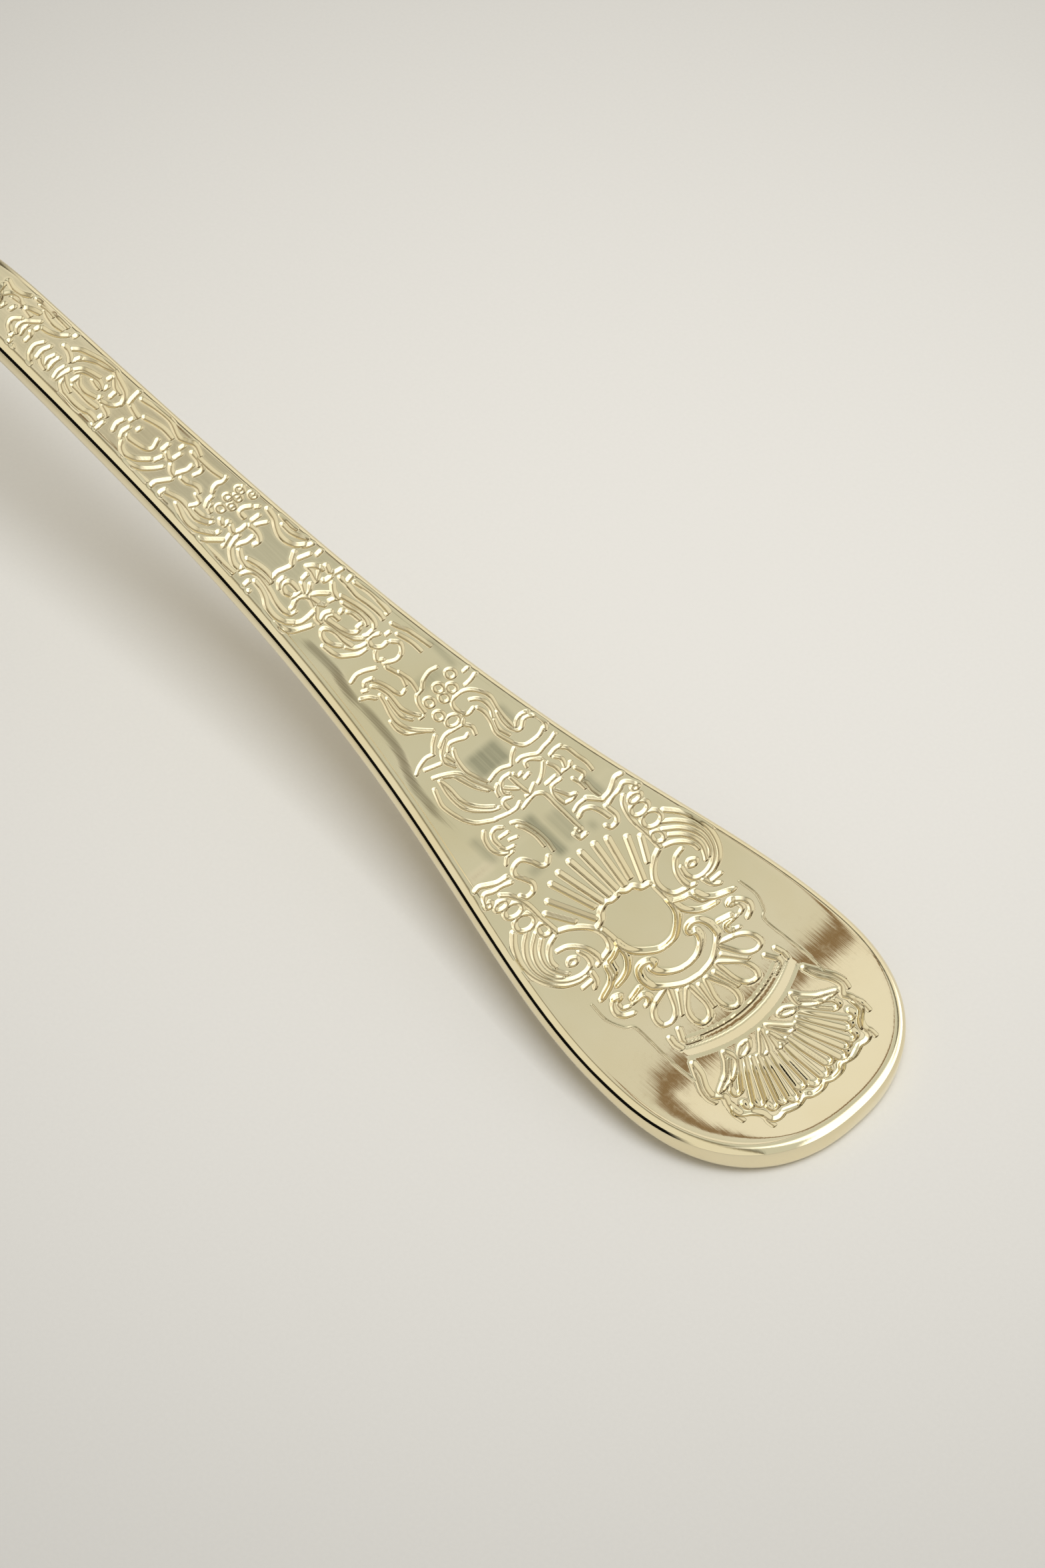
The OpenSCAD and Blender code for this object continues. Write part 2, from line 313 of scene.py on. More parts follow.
# %% Disc and rays
RAYS = [((31.6, 0.5), (36.5, 0.75)), ((31.4, 1.45), (36.3, 2.4)), ((31.6, 2.45), (35.9, 3.8)),
        ((30.6, 3.25), (34.8, 5.35)), ((31.7, 5.0), (34, 6.45))]
both([(24.2, 0), (24.35, 1), (24.95, 2), (25.7, 2.85), (26.4, 3.3), (27.2, 3.5), (28.5, 3.55), (29.4, 3.6)])
groove([(29.8, -3.7), (30.2, -2.9), (30.8, -2.3), (31.2, -1.2), (30.95, -0.6), (31.0, 0.1), (31.3, 0.5),
        (30.8, 1.2), (30.7, 2.0), (30.1, 2.5), (29.9, 3.3)], 0.24)
for ray in RAYS:
    both(ray, 0.25)
tell("disc and rays")

# %% [markdown]
# ### Scrolls beside the disc
# Two mirrored horns grow out of the disc: bundles of lines that curl round an eye, a bowl under each, and
# beads along the outer curve. Drawing one side and mirroring it keeps the pair alike, as on a die.

# %% Side scrolls
both([(28.5, 8.1), (28.85, 8.65), (29.2, 8.1), (28.85, 7.55)], 0.12, closed=True)
both([(34.6, 10.2), (33.5, 11.2), (32, 11.9), (30.3, 12), (28.8, 11.5), (27.6, 10.5), (27, 9.2),
      (26.9, 8.2)])
both([(33.8, 9.2), (33, 10.3), (31.8, 11.2), (30.3, 11.5), (28.8, 11), (27.8, 10), (27.3, 8.8), (27.25, 7.7),
      (27.6, 6.95), (28.4, 6.7), (29.2, 6.9)], 0.15)
both([(33.2, 8.6), (32.3, 9.9), (31.2, 10.7), (30, 10.95), (28.9, 10.6), (28.3, 10)], 0.14)
both([(32.4, 8.6), (31.6, 9.6), (30.6, 10.15), (29.6, 10.2), (28.6, 9.7), (28.2, 9.4)], 0.14)
both([(31.8, 7.5), (31.5, 8.4), (30.9, 9.2), (30.2, 9.7), (29.5, 9.75)], 0.16)
both([(30.5, 8.4), (30.3, 7.5), (29.8, 6.8), (29, 6.2), (28, 5.95), (27.2, 6.1), (27, 6.6)], 0.16)
both([(27.2, 5.6), (27.6, 4.4), (28.6, 3.85), (29.7, 3.95), (30.7, 4.7), (31.5, 5.8), (31.9, 6.7)])
both([(21.2, 7.8), (21.6, 8.6), (22.3, 9), (23, 8.7), (23.5, 8), (23.4, 7.5)], 0.18)
both([(22, 7.6), (22.3, 8.2), (22.9, 8.2), (23.2, 7.6)], 0.12)
both([(24.2, 9), (24.5, 8), (24.9, 7), (25.6, 6.3), (26.5, 6)], 0.18)
both([(26.2, 9.3), (26.2, 8.2)], 0.15)
both([(25.5, 8.5), (26, 7.9), (26.9, 7.6)], 0.15)
both([(21, 6.3), (21.2, 5.7), (21.5, 5.4), (22, 5.7), (22, 7)], 0.15)
both([(22.4, 6.7), (22.7, 5.4)], 0.15)
both([(24.3, 6.7), (24.5, 5.6), (25, 4.6), (26, 3.8), (27.2, 3.6)], 0.15)
both([(27.2, 3.6), (26.7, 4.8), (26.5, 5.5), (25.5, 5.9), (25.1, 6.6)], 0.15)
tell("side scrolls")

# %% Horns and their beads
BEAD_POINTS = 12
HORN_BEADS = [(33, 7.7, 0.65, 0.65), (34.7, 8.6, 0.8, 1.1), (36.3, 8.5, 0.65, 1.05), (37.4, 9, 0.4, 0.75),
              (38.2, 9.9, 0.25, 0.35)]


def bead(s, y, half_s, half_y):
    """The ring round a bead, by its middle and half its length and width."""
    turn = np.linspace(0, 2 * math.pi, BEAD_POINTS + 1)[:-1]
    return [(s + half_s * math.cos(a), y + half_y * math.sin(a)) for a in turn]


for sizes in HORN_BEADS:
    both(bead(*sizes), 0.15, closed=True)
both([(32, 7), (34, 7.1), (36, 7.1), (37.5, 7.6), (38.2, 8.3)], 0.15)
both([(38.2, 10.2), (38.9, 9.8), (39.2, 9.3), (38.9, 8.5), (38.8, 7.5), (38.5, 6.6)], 0.15)
both([(40, 9.9), (40.1, 9.2), (39.7, 8.4), (39.3, 7.5), (39.2, 6.5)], 0.18)
groove([(39.2, 6.5), (39.8, 5.9), (40.3, 5.4)], 0.18)
groove([(38.5, 6.2), (37.3, 6.3), (36.6, 5.8), (36.5, 5), (37, 4.7)], 0.15)
groove([(37.5, 5.6), (38.5, 5.4), (39.3, 5), (39.6, 4.2), (39.3, 3.4)], 0.15)
groove(bead(38.4, 2.4, 0.2, 0.25), 0.1, closed=True)
groove([(37.6, 2.6), (37.6, 1.9), (38.3, 1.7)], 0.15)
groove([(38.2, -1.9), (37.7, -2.6), (38, -3.2), (38.9, -3.6), (39.6, -4.2), (39.5, -5.2), (38.9, -5.8),
        (38, -5.4), (37.2, -5.1), (36.5, -5.6), (36.4, -6.5), (36.9, -6.9)], 0.15)
tell("horns")

# %% [markdown]
# ### The vine on the stem
# From here the drawing is not mirrored: a vine of leaves, roses and grapes wanders down the stem between
# plain windows of polished metal. Near the disc its lines are finer than those of the shell, and they grow
# bolder along the stem. Mirroring would not help here, so every line is its own stroke. Each cell draws
# one stretch, its clear lines first; where a stretch has faint lines, they come after them.

# %% Vine behind the rays
VINE_SHIFT, VINE_HALF, VINE_THIN = 0.25, 0.09, 0.05
BOLDER, BOLDER_S, BOLDER_RUN = 0.09, 58.0, 14.0


def vine(lines, half_width=VINE_HALF):
    """Draws a stretch of the vine; lines that start further along the stem are bolder."""
    for line in lines:
        bolder = BOLDER * ease((line[0][0] - BOLDER_S) / BOLDER_RUN)
        groove([(s, y + VINE_SHIFT) for s, y in line], half_width + bolder)


vine([
    [(38.4, 2.35), (41.6, 2.35), (43.2, 2.35), (43.7, 1.8), (43.75, 1.2), (43.6, 0.4), (43.45, -0.3)],
    [(38.4, -1.3), (39.4, -1.1), (40.7, -1.1), (41.9, -1.3), (42.7, -1.75), (43, -2.3)],
    [(39.3, -1.6), (40.6, -1.5), (41.8, -1.75), (42.4, -2.1)],
    [(39.8, 6.3), (40.7, 6.2), (41.6, 6.3), (42, 6.1), (42.2, 6.65), (42.55, 6.9), (43.35, 6.65)],
    [(40.3, 4.85), (40.3, 4), (40.05, 3.25)], [(40.75, -4.4), (40.7, -5.15), (40.15, -5.85)],
    [(40.95, -4.8), (41.4, -5.5), (42.3, -5.85), (43.35, -5.6), (44, -5.05)],
    [(41.1, -3.9), (41.3, -4.7), (41.9, -5)], [(41.2, 5.85), (41.9, 5.85), (42.65, 5.65)],
    [(41.3, 4.7), (41.1, 4), (41.2, 3.25)],
    [(41.3, 3.1), (42.1, 3), (42.8, 3.1), (43.35, 3.6), (43.35, 4.7)],
    [(41.4, 4.6), (41.6, 4.1), (42.5, 3.6), (43, 3.3)], [(41.6, -3), (41.8, -3.7)],
    [(42.2, 7.8), (43.2, 7.9), (44.25, 7.7), (45.3, 7.55), (45.85, 7.1)], [(42.5, -3.3), (42.55, -4.25)],
    [(43.2, -3.35), (43.55, -3.9), (43.35, -4.6), (42.8, -4.95), (42.1, -4.95)],
    [(43.8, 5.1), (44.6, 5.2), (45.4, 4.9)], [(43.9, 4.5), (43.85, 3.25)],
    [(44.05, 6.7), (43.8, 6.3), (43.85, 5.3)], [(44.05, -0.15), (43.8, -0.85), (43.9, -1.9), (44.25, -3.2)],
    [(44.1, 6), (44.9, 6.3), (45.5, 5.9)],
    [(44.15, -3.2), (44.6, -4.05), (45.15, -4.95), (46, -5.6), (46.9, -5.95), (48, -6.2), (48.7, -6.2),
     (49.6, -5.85), (50.15, -5.6)],
    [(44.25, 1.3), (45.05, 1.1), (46.6, 1)], [(44.6, 2.3), (44.15, 1.3), (44.15, 0.85)],
    [(44.9, -2.1), (45.15, -2.8), (45.7, -3.55), (46.4, -4.35), (47.1, -4.8), (48, -4.95), (49.1, -4.9),
     (50.3, -4.6)],
    [(45, -0.4), (45.2, -1), (45, -1.45), (44.35, -1.5)], [(45.15, 0.9), (45.7, 0.2), (46.2, -0.3)],
    [(45.3, -2.4), (46, -3.3), (46.9, -4.05), (48, -4.45), (49.4, -4.4), (50.5, -4.55)],
    [(45.7, 2.7), (45.6, 2.1)], [(45.8, 4.75), (45.15, 4.05), (44.7, 3.4), (44.4, 2.7)],
    [(45.85, -1.2), (46.4, -1), (46.75, -0.5)], [(45.95, 7.2), (46, 6.5), (45.85, 5.75)],
    [(46.1, 4.7), (46.75, 3.95), (46.8, 3.3), (46.4, 3.1)], [(46.2, 2.2), (46.15, 1.7), (46.6, 1.5)],
    [(46.75, -1.2), (47.65, -1.6), (48.7, -2.1), (49.6, -2.35), (50.15, -2.8), (50.5, -3.35), (50.85, -4.1),
     (51.1, -4.8)],
    [(46.85, 1.2), (46.9, 0.4), (46.55, -0.25), (45.85, -0.6), (45.4, -0.3)],
    [(46.9, -1.6), (48, -2.4), (49.2, -2.85), (50.1, -3.2), (50.6, -4)],
])
tell("vine behind the rays")

# %% Vine round the first window
vine([
    [(47.2, 7.7), (46.95, 6.8), (46.85, 5.9), (46.7, 4.95), (47.1, 4.15), (47.4, 3.4), (47.35, 2.8)],
    [(47.7, -1.1), (48.7, -1.55), (49.8, -1.85), (51.2, -1.65), (52.1, -1.2)],
    [(48.1, 7.35), (48.7, 7.75), (49.6, 7.7), (50.1, 7.2), (50.2, 6.5), (49.7, 5.75), (49.7, 5.2),
     (50.4, 4.75), (51.4, 4.7), (52.4, 5)],
    [(48.35, 7.3), (48.05, 6.5), (48, 5.6), (48.1, 4.7), (48.5, 4.15), (49.05, 3.8)],
    [(48.55, 3.6), (48.3, 3.1), (47.9, 2.55), (47.45, 2), (47.75, 1.1), (47.8, 0.4), (47.55, -0.7)],
    [(49.05, 3.8), (50.15, 3.45), (51, 3.35), (52.1, 3.8), (53.2, 4), (53.9, 3.8)],
    [(49.9, 4.15), (51, 3.85), (52, 4.2)],
    [(50.3, 5.1), (51.6, 5.15), (52.8, 5.35), (54.1, 5.65), (55.15, 5.2), (55.85, 4.5), (56.1, 3.6),
     (56, 2.55), (55.5, 2.1), (54.8, 2.1), (54.25, 2.4)],
    [(50.6, 7.2), (50.75, 6.65), (50.6, 5.95), (50.15, 5.3)],
    [(50.7, -2.3), (51.6, -2.75), (52.3, -2.5), (52.8, -1.95), (53.35, -1.05)], [(51.2, -2), (52.1, -2.25)],
    [(51.75, -3.2), (52, -4.1), (52.2, -4.8)], [(52, 1.7), (52.8, 1.95), (53.5, 1.5), (53.85, 1.8)],
    [(52.3, 4.3), (53, 4.75), (53.9, 4.85), (54.6, 4.5), (54.95, 3.9)],
    [(52.4, 1.1), (52.3, 0.6), (52.65, -0.3), (52.75, -1.05), (52.3, -1.65)],
    [(52.9, -3), (53.05, -3.9), (52.8, -4.95), (52.4, -5.75)],
    [(53.5, 1.3), (53.6, 0.4), (53.7, -0.5), (53.5, -1.2), (53.1, -1.95)],
])
tell("vine round the first window")

# %% Vine with the first grapes
def grapes(beads):
    """Draws the rings of a bunch of grapes."""
    for s, y, half_s, half_y in beads:
        groove(bead(s, y + VINE_SHIFT, half_s, half_y), VINE_THIN, closed=True)


vine([
    [(54.1, 3.5), (53.95, 2.7), (54.25, 2.2)], [(54.25, -1.5), (53.7, -2.3), (53.1, -2.9)],
    [(54.8, -1.3), (55.5, -2.1), (56.2, -2.8), (56.95, -3.2), (57.8, -3.35), (58.7, -3.2), (59.8, -2.8),
     (60.7, -2.55)],
    [(55.15, -1.75), (55.6, -2.5), (56.2, -3.5), (57.1, -3.85), (58, -3.75)], [(56.5, -0.9), (56.5, -1.3)],
    [(56.65, 6.2), (56.45, 5.4), (56.4, 4.7)],
    [(56.75, -1.1), (57.45, -1.6), (58.5, -2), (59.6, -1.9), (60.5, -1.85), (61.4, -2.1), (61.9, -2.5)],
    [(56.9, -2), (57.8, -2.55), (59, -2.5), (60, -2.3)], [(57.6, 6.3), (57.55, 5.6)],
    [(58.9, 0.6), (60.1, 0.85), (61.4, 0.6)],
    [(59.5, 3.8), (59.6, 2.9), (59.25, 1.8), (58.7, 1.1), (58.45, 0.2), (57.8, -0.3), (56.75, -0.5)],
    [(59.6, -0.3), (59.5, -0.85), (60, -1.2), (61, -1.4), (61.9, -1.75), (62.5, -2.1)],
    [(60, 0.2), (60.9, 0.5), (61.75, 0.3), (62.5, 0.05), (62.8, 0.2)],
    [(60.7, -3.1), (61.2, -3.55), (61.55, -4.25)],
    [(61.6, 5), (63.2, 4.7), (64.25, 4.45), (65.15, 4), (65.7, 3.8)],
    [(61.75, 3.9), (63, 3.85), (64.1, 3.55), (64.5, 3.4)], [(61.85, -3.2), (62, -3.55)],
    [(62.5, -1.9), (62.65, -2.65), (62.4, -3)], [(62.65, 2.1), (62.5, 1.5), (62.65, 0.9), (63, 0.2)],
    [(62.65, 2.1), (63, 2.55), (63.7, 2.9), (64.3, 2.4)],
    [(63.1, -0.85), (63.55, -1.9), (63.7, -2.8), (63.45, -3.7)],
    [(63.35, 0.35), (63.7, -0.1), (64.25, 0.25), (64.5, 0.6)], [(64.45, 1.95), (64.4, 1.35), (64.7, 0.8)],
    [(64.6, 0.9), (65.15, 0.55), (65.7, 0.7), (65.85, 1.35), (65.6, 2.05)], [(65.1, 2.95), (65.1, 2.6)],
    [(65.15, -0.1), (65.2, -1), (65.7, -1.9), (66.2, -2.6), (66.9, -2.95), (68, -3.1)],
    [(65.6, 0.25), (65.7, -0.35), (66, -1), (66.6, -1.5)],
])
grapes([
    (54.4, 1, 0.55, 0.8), (55.6, 0.3, 0.5, 0.5), (57.2, 0.6, 0.5, 0.5), (57, 3.4, 0.5, 0.5),
    (57.8, 2.4, 0.5, 0.5), (56.7, 2.1, 0.5, 0.5), (58.2, 4.4, 0.5, 0.5),
])
tell("vine with the first grapes")

# %% Vine in the middle of the stem
vine([
    [(66.2, 0.45), (66.9, -0.3), (68, -0.7), (69.4, -0.9), (70.1, -1)],
    [(66.25, 1.8), (66.2, 1.15), (66.3, 0.8)],
    [(66.4, 2.2), (66.9, 2.6), (67.8, 2.75), (69.1, 2.6), (70.5, 2.2), (70.95, 2.05)],
    [(66.4, -1), (67.3, -1.15), (68.4, -1.15), (69.1, -1.45), (69.35, -1.9), (68.9, -2.4), (68.2, -2.5),
     (67.5, -2.25), (66.9, -1.7)],
    [(66.6, 3.5), (67.3, 3.65), (68.7, 3.55), (70.1, 3.3), (71.2, 3.4), (72.5, 3.45)],
    [(66.75, 4.2), (66.9, 4.45), (68, 4.55), (69.6, 4.55), (71.2, 4.2)],
    [(67.1, 1.85), (67.7, 2.15), (68.7, 2.15), (69.6, 1.85), (70.3, 1.7)],
    [(67.2, 0.95), (67.1, 0.45), (67.5, -0.1), (68.2, -0.45), (69.1, -0.65), (69.9, -0.8), (70.1, -0.45),
     (69.95, 0), (69.25, 0.1)],
    [(67.45, 1.5), (67.4, 0.95)], [(68, 1.7), (68.9, 1.6), (69.3, 1.35)], [(69.7, 1.05), (69.6, 0.8)],
    [(70.05, -1.5), (70.7, -1.45), (71.2, -1), (71.6, -0.65)], [(70.3, 0.1), (70.5, -0.45), (70.3, -1.15)],
    [(70.3, -2.4), (70.6, -3.3), (71, -4.2), (71.75, -4.8), (72.8, -5)],
    [(70.95, 1.7), (71.75, 1.85), (72.5, 2.4)], [(71.1, 1.35), (71.2, 0.9)], [(71.2, 0.1), (71.75, -0.3)],
    [(71.3, -1.15), (71.2, -1.9), (71.2, -2.8), (71.5, -3.5)],
    [(71.6, -3.5), (72.3, -4.2), (73.4, -4.5), (74.6, -4.3), (75.5, -3.75), (76.4, -3.4), (77.3, -3.3)],
    [(71.9, 4.55), (71.75, 3.8)],
    [(71.9, -0.65), (72.6, -0.45), (73.2, -0.8), (73.35, -1.5), (73, -2.25), (72.9, -2.6)],
    [(71.9, -0.2), (72.6, -0.3), (72.9, -0.1)], [(71.9, 1.35), (72.5, 0.6), (72.8, 0)],
    [(72.4, -2.6), (72.5, -3.1), (73.2, -3.4), (74.4, -3.3), (75.5, -2.95), (76.6, -2.7), (77.65, -2.6),
     (78.4, -2.95), (78.7, -3.65)],
    [(73, 4.6), (73.1, 3.8), (73.15, 3.5)], [(73.1, 2.85), (73.1, 2.1), (73.3, 1.95)],
    [(73.4, 3.3), (73.7, 3.1), (74.3, 3.3)], [(73.5, -0.35), (74.1, 0), (74.3, 0.1)],
    [(73.7, 0.7), (73.35, 0.15), (73.2, -0.3)], [(73.7, -0.7), (73.7, -1.25), (73.8, -1.6)],
    [(73.9, 1.5), (74.8, 1.8), (75.3, 1.8)],
    [(74.1, -1.7), (74.6, -1.9), (75.1, -1.7), (75.4, -1.15), (75.1, -0.7), (74.1, -0.7)],
    [(74.2, 2.75), (75, 2.4), (75.4, 1.8)], [(74.5, 2.75), (74.1, 2.05), (73.6, 1.4)],
    [(74.7, 1.15), (74.6, 0.6)], [(75.8, 4.3), (75.7, 3.55)], [(75.85, -0.9), (75.75, -1.5), (75.3, -1.95)],
])
tell("vine in the middle of the stem")

# %% Vine with the second grapes
vine([
    [(76.2, 2.95), (76.4, 2.2), (76.5, 1.8)],
    [(76.3, -2.3), (77.3, -2.25), (78.2, -2.4), (79.1, -2.7), (80.1, -2.5), (80.8, -2.05)],
    [(76.6, -1.8), (77.6, -1.7), (78.7, -1.85), (79.6, -2.15)], [(76.85, 4.3), (77, 3.55), (77.3, 3.1)],
    [(76.85, -4.5), (76.8, -4.75)],
    [(77.3, 1.95), (76.85, 1.25), (76.4, 0.7), (76.5, -0.1), (76.65, -0.8), (76.5, -1.7), (76.25, -2.05)],
    [(77.3, 3.3), (77.8, 2.6), (78.7, 2.15), (79.7, 2.15), (80.5, 2.5), (81.4, 3.05), (82.5, 3.3)],
    [(77.65, -3.75), (77.6, -4.2)], [(79.2, -3.2), (79.25, -3.5)], [(79.35, -4.2), (79.3, -4.55)],
    [(79.45, -3.55), (80.15, -3.5), (81.05, -2.95), (81.55, -2.45), (81.85, -1.7), (82, -1)],
    [(80.3, -0.45), (80.3, 0.1), (80.9, 0.55), (81.6, 0.7), (82.2, 0.6)],
    [(81.05, 0), (81, -0.75), (81.2, -1.35), (81.3, -1.75)], [(82.4, 0.35), (82.35, -0.3), (82.45, -0.8)],
    [(82.45, 2.1), (82.45, 1.3)], [(82.55, -1.6), (82.3, -2.35), (82.05, -2.9)],
    [(82.55, -1), (82.9, -1.05), (83.35, -0.8)],
    [(82.55, -2.45), (83.2, -3.25), (83.7, -3.85), (84.15, -4.2)], [(83.2, 2.75), (83.35, 2.55)],
    [(83.5, -2.2), (83.5, -2.4)], [(83.7, 2.2), (84, 1.6), (83.9, 0.95), (83.2, 0.85)],
    [(83.7, -2.7), (84.45, -3.3), (85.15, -3.75), (86.05, -3.9), (86.95, -3.75), (87.8, -3.4),
     (88.45, -3.15)],
    [(83.75, -0.7), (83.7, -1.2)], [(83.9, -1.2), (84.15, -1.3), (84.45, -1.1)],
    [(84.65, 3.7), (84.6, 3.4)], [(84.7, -1.95), (84.8, -2.25)], [(84.85, 0.95), (84.85, 0.75)],
    [(84.95, -2.35), (85.7, -2.8), (86.4, -2.9), (87.3, -2.75), (88.2, -2.6), (88.9, -2.7), (90.1, -3.15)],
    [(85.3, 2.25), (85.3, 1.95)], [(85.7, -1.25), (86.1, -1.1), (86.3, -0.65)],
    [(85.75, 1.45), (85.7, 1.15)], [(85.85, 3.1), (85.8, 2.85)],
    [(86.85, 0.05), (86.75, -0.55), (86.4, -1.15)],
    [(87.6, 2.6), (87.45, 2), (87.6, 1.5), (87.5, 0.95), (87.2, 0.5)],
    [(88, -0.55), (88.55, -0.3), (89.1, -0.45), (89.6, -0.75), (90.3, -0.8)],
])
vine([
    [(77.65, 4), (78.4, 3.5), (79.25, 3.2), (80.3, 3.2)], [(79.1, 3.85), (79.8, 3.7), (81.2, 3.85)],
    [(79.4, -4.2), (80.7, -4.25), (81.9, -4.2), (83.35, -4.3), (84.8, -4.55), (86.2, -4.55), (87.6, -4.3),
     (88.7, -4.2), (89.8, -4.05)],
    [(81.4, 2.2), (81.65, 1.7), (81.85, 1.2)], [(85.15, -1.7), (85.85, -2.15), (86.95, -2.25)],
    [(88, -1), (87.3, -1.2), (87.15, -1.7), (87.45, -2.4)],
    [(88, 2.3), (89.05, 2.1), (90.15, 2.05), (91.05, 2.05)],
    [(89.7, 0.4), (89.6, 1.15), (89.9, 1.7), (90.3, 1.85)],
], VINE_THIN)
grapes([
    (84.6, 3.3, 0.4, 0.4), (85.8, 2.7, 0.45, 0.4), (85.3, 1.9, 0.45, 0.4), (85.9, 1.2, 0.4, 0.4),
    (84.9, 0.8, 0.4, 0.4), (85.4, -0.2, 0.45, 0.45),
])
tell("vine with the second grapes")

# %% Vine towards the neck
vine([
    [(90.25, -2.95), (90.3, -3.5), (89.9, -3.95)], [(90.3, 1.5), (90.85, 1.85), (91.75, 2)],
    [(90.65, 0.95), (90.55, 0.35), (90.75, -0.3), (90.95, -0.95)],
    [(90.75, -1.7), (91.2, -2.5), (91.5, -3.15), (91.4, -3.75)], [(90.95, -1.15), (91.55, -1), (92, -0.55)],
    [(92.3, 0.95), (92.35, 0.25)], [(92.4, -0.1), (92.8, -0.25), (93.35, 0.05)],
    [(92.8, 1.85), (92.8, 1.55)], [(93.2, -0.65), (93.35, -1.35)],
    [(93.7, -1.7), (94.45, -2.6), (95.15, -3.05), (95.85, -3.2), (96.55, -2.9), (97.1, -2.25)],
    [(93.85, 0.8), (93.8, 0.05)], [(94.25, 1.6), (95.5, 1.7), (96.55, 1.5), (97.65, 1.15)],
    [(96.95, -0.05), (96.95, -0.3)], [(97.7, -0.8), (97.75, -1.5), (97.4, -2.15)],
    [(98.1, 0.7), (98.7, 0.8), (99.5, 1.05)], [(98.2, 0.15), (98.2, -0.1)],
    [(98.7, -0.65), (98.8, -1.35), (98.45, -2.15)], [(100.05, -1.55), (100.5, -1.25), (101.3, -1)],
    [(100.15, 2.75), (100, 1.85), (99.8, 1.15)], [(100.15, -3.4), (100.15, -3.6)],
    [(100.15, 0.45), (100.5, 1.15), (101.05, 1.7), (101.9, 2.05), (103, 2.4), (103.5, 2.7)],
    [(100.35, -1.95), (100.3, -2.3)],
    [(100.4, -2.8), (101.4, -2.7), (102.1, -2.95), (103.35, -3.05), (104.95, -2.9)],
    [(101.55, 0.95), (101.45, 0.25)], [(102.05, -0.6), (102.05, -0.85)], [(102.5, 0.75), (102.5, 0.45)],
    [(102.95, 0.05), (103.5, 0.1), (104.05, 0.25)], [(103.1, 1.85), (103.1, 1.5)],
    [(105.15, -0.55), (105.15, -1.35)], [(106.3, -0.75), (106.35, -1.7), (106.35, -2.4)],
    [(106.7, 0.95), (106.85, 0.25)], [(107.05, 0), (107.6, 0.45), (108.3, 0.75), (108.75, 0.8)],
    [(107.95, -0.65), (107.95, -1.35), (107.7, -2.25)], [(107.95, -2.45), (108.7, -2.25), (109.2, -1.9)],
    [(108.9, 2.65), (108.9, 2.35)], [(109.2, -3.3), (110.3, -3.85), (111.35, -3.6), (111.9, -3.3)],
    [(109.5, -0.4), (109.65, -1.2), (109.4, -2.15)], [(111.9, 0.3), (111.9, 0)],
    [(112.5, -2.95), (112.4, -3.4)], [(112.95, -2.1), (112.9, -2.4)],
    [(113.15, 1.5), (114.05, 1.15), (114.4, 0.8), (113.5, 0.6)], [(115.2, 0.05), (115.2, -0.25)],
    [(116.05, -0.4), (116.05, -0.75)], [(117.8, 1.15), (117.45, 0.25)],
])
vine([
    [(91.05, 2.4), (92.3, 2.85), (93.2, 2.4), (94.05, 2.2), (95.85, 2.85), (97.65, 2.75), (99.4, 2.4)],
    [(92.1, -3.75), (94.1, -3.9), (98.5, -3.9)],
    [(92.3, -1.35), (92.8, -2.25), (93.55, -3.15), (94.45, -3.6), (95.15, -3.75)],
    [(94.9, 0.4), (94.5, -0.65), (94.95, -1.25), (95.85, -1.55), (96.95, -1.7), (97.2, -1.55)],
    [(99.7, -2.4), (99.6, -3.3)], [(100.25, 0.4), (100.4, -0.1), (101.05, -0.65), (101.75, -0.9)],
    [(101.2, 1.2), (102, 1.35), (102.7, 1.9), (103, 2.1)],
    [(101.4, -1.7), (102.6, -1.85), (103.8, -1.8), (104.8, -1.75)],
    [(102.4, -1), (103.4, -1.3), (104.4, -1.2), (105, -0.7)],
    [(102.7, 0.2), (103.6, 0.6), (104.6, 0.45), (105.4, 0.1), (105.7, -0.4)],
    [(103.4, 2.65), (104.4, 2.2), (105.4, 1.9), (106.3, 1.3), (106.6, 0.9)],
    [(103.7, 2.7), (104.95, 2.55), (106.35, 2.1), (107.4, 1.7), (107.95, 1.15)],
    [(103.85, 0.9), (104.95, 0.6), (105.65, 0.25), (106, -0.3)],
    [(104.4, -2.45), (105.45, -2.05), (106.2, -1.55)], [(104.95, -2.9), (105.65, -2.45), (106, -1.7)],
    [(106.9, -0.9), (106.9, -1.7), (106.6, -2.5)], [(108.5, -0.7), (108.6, -1.5), (108.3, -2.2)],
    [(109.4, 1.9), (110, 1.2), (110.9, 0.7), (111.7, 0.5)],
    [(110.2, 2.5), (111.6, 2.6), (113, 2.7), (114.6, 2.5)],
    [(110.3, 1.85), (111.35, 1.7), (112.45, 1.85), (113.15, 2.15)],
    [(110.3, -0.5), (110.6, -1.4), (110.2, -2.4), (109.6, -2.9)],
    [(111.55, -1.7), (111.7, -1), (112.05, -0.65)], [(112.05, 2.3), (112.95, 2.4), (113.85, 2.3)],
    [(112.3, 0.9), (112.9, 0.2), (113.4, -0.4), (113.3, -1.2), (112.8, -1.7)],
    [(112.45, -1.55), (112.7, -1), (112.8, -0.3)], [(113.8, -0.3), (114.3, -1), (114, -1.7), (113.4, -2.1)],
    [(114.9, 0.7), (115.8, 1.3), (116.6, 1.1), (117, 0.4)], [(114.95, 0.95), (116.2, 0.8)],
    [(115.2, 2.2), (116, 1.7), (117, 1.6), (117.9, 1.9)], [(116.4, -0.9), (116.8, -0.2), (117.2, 0.3)],
], VINE_THIN)
tell("vine towards the neck")

# %% [markdown]
# ### The ground beside the vine
# The die left the ornament standing and pressed the ground beside it down. The patch of ground is one
# outline, and it falls away from its edge as an even, soft ramp. Polished metal mirrors another part of
# the room there, so this ramp is the broad dark band that runs along the vine's near side.

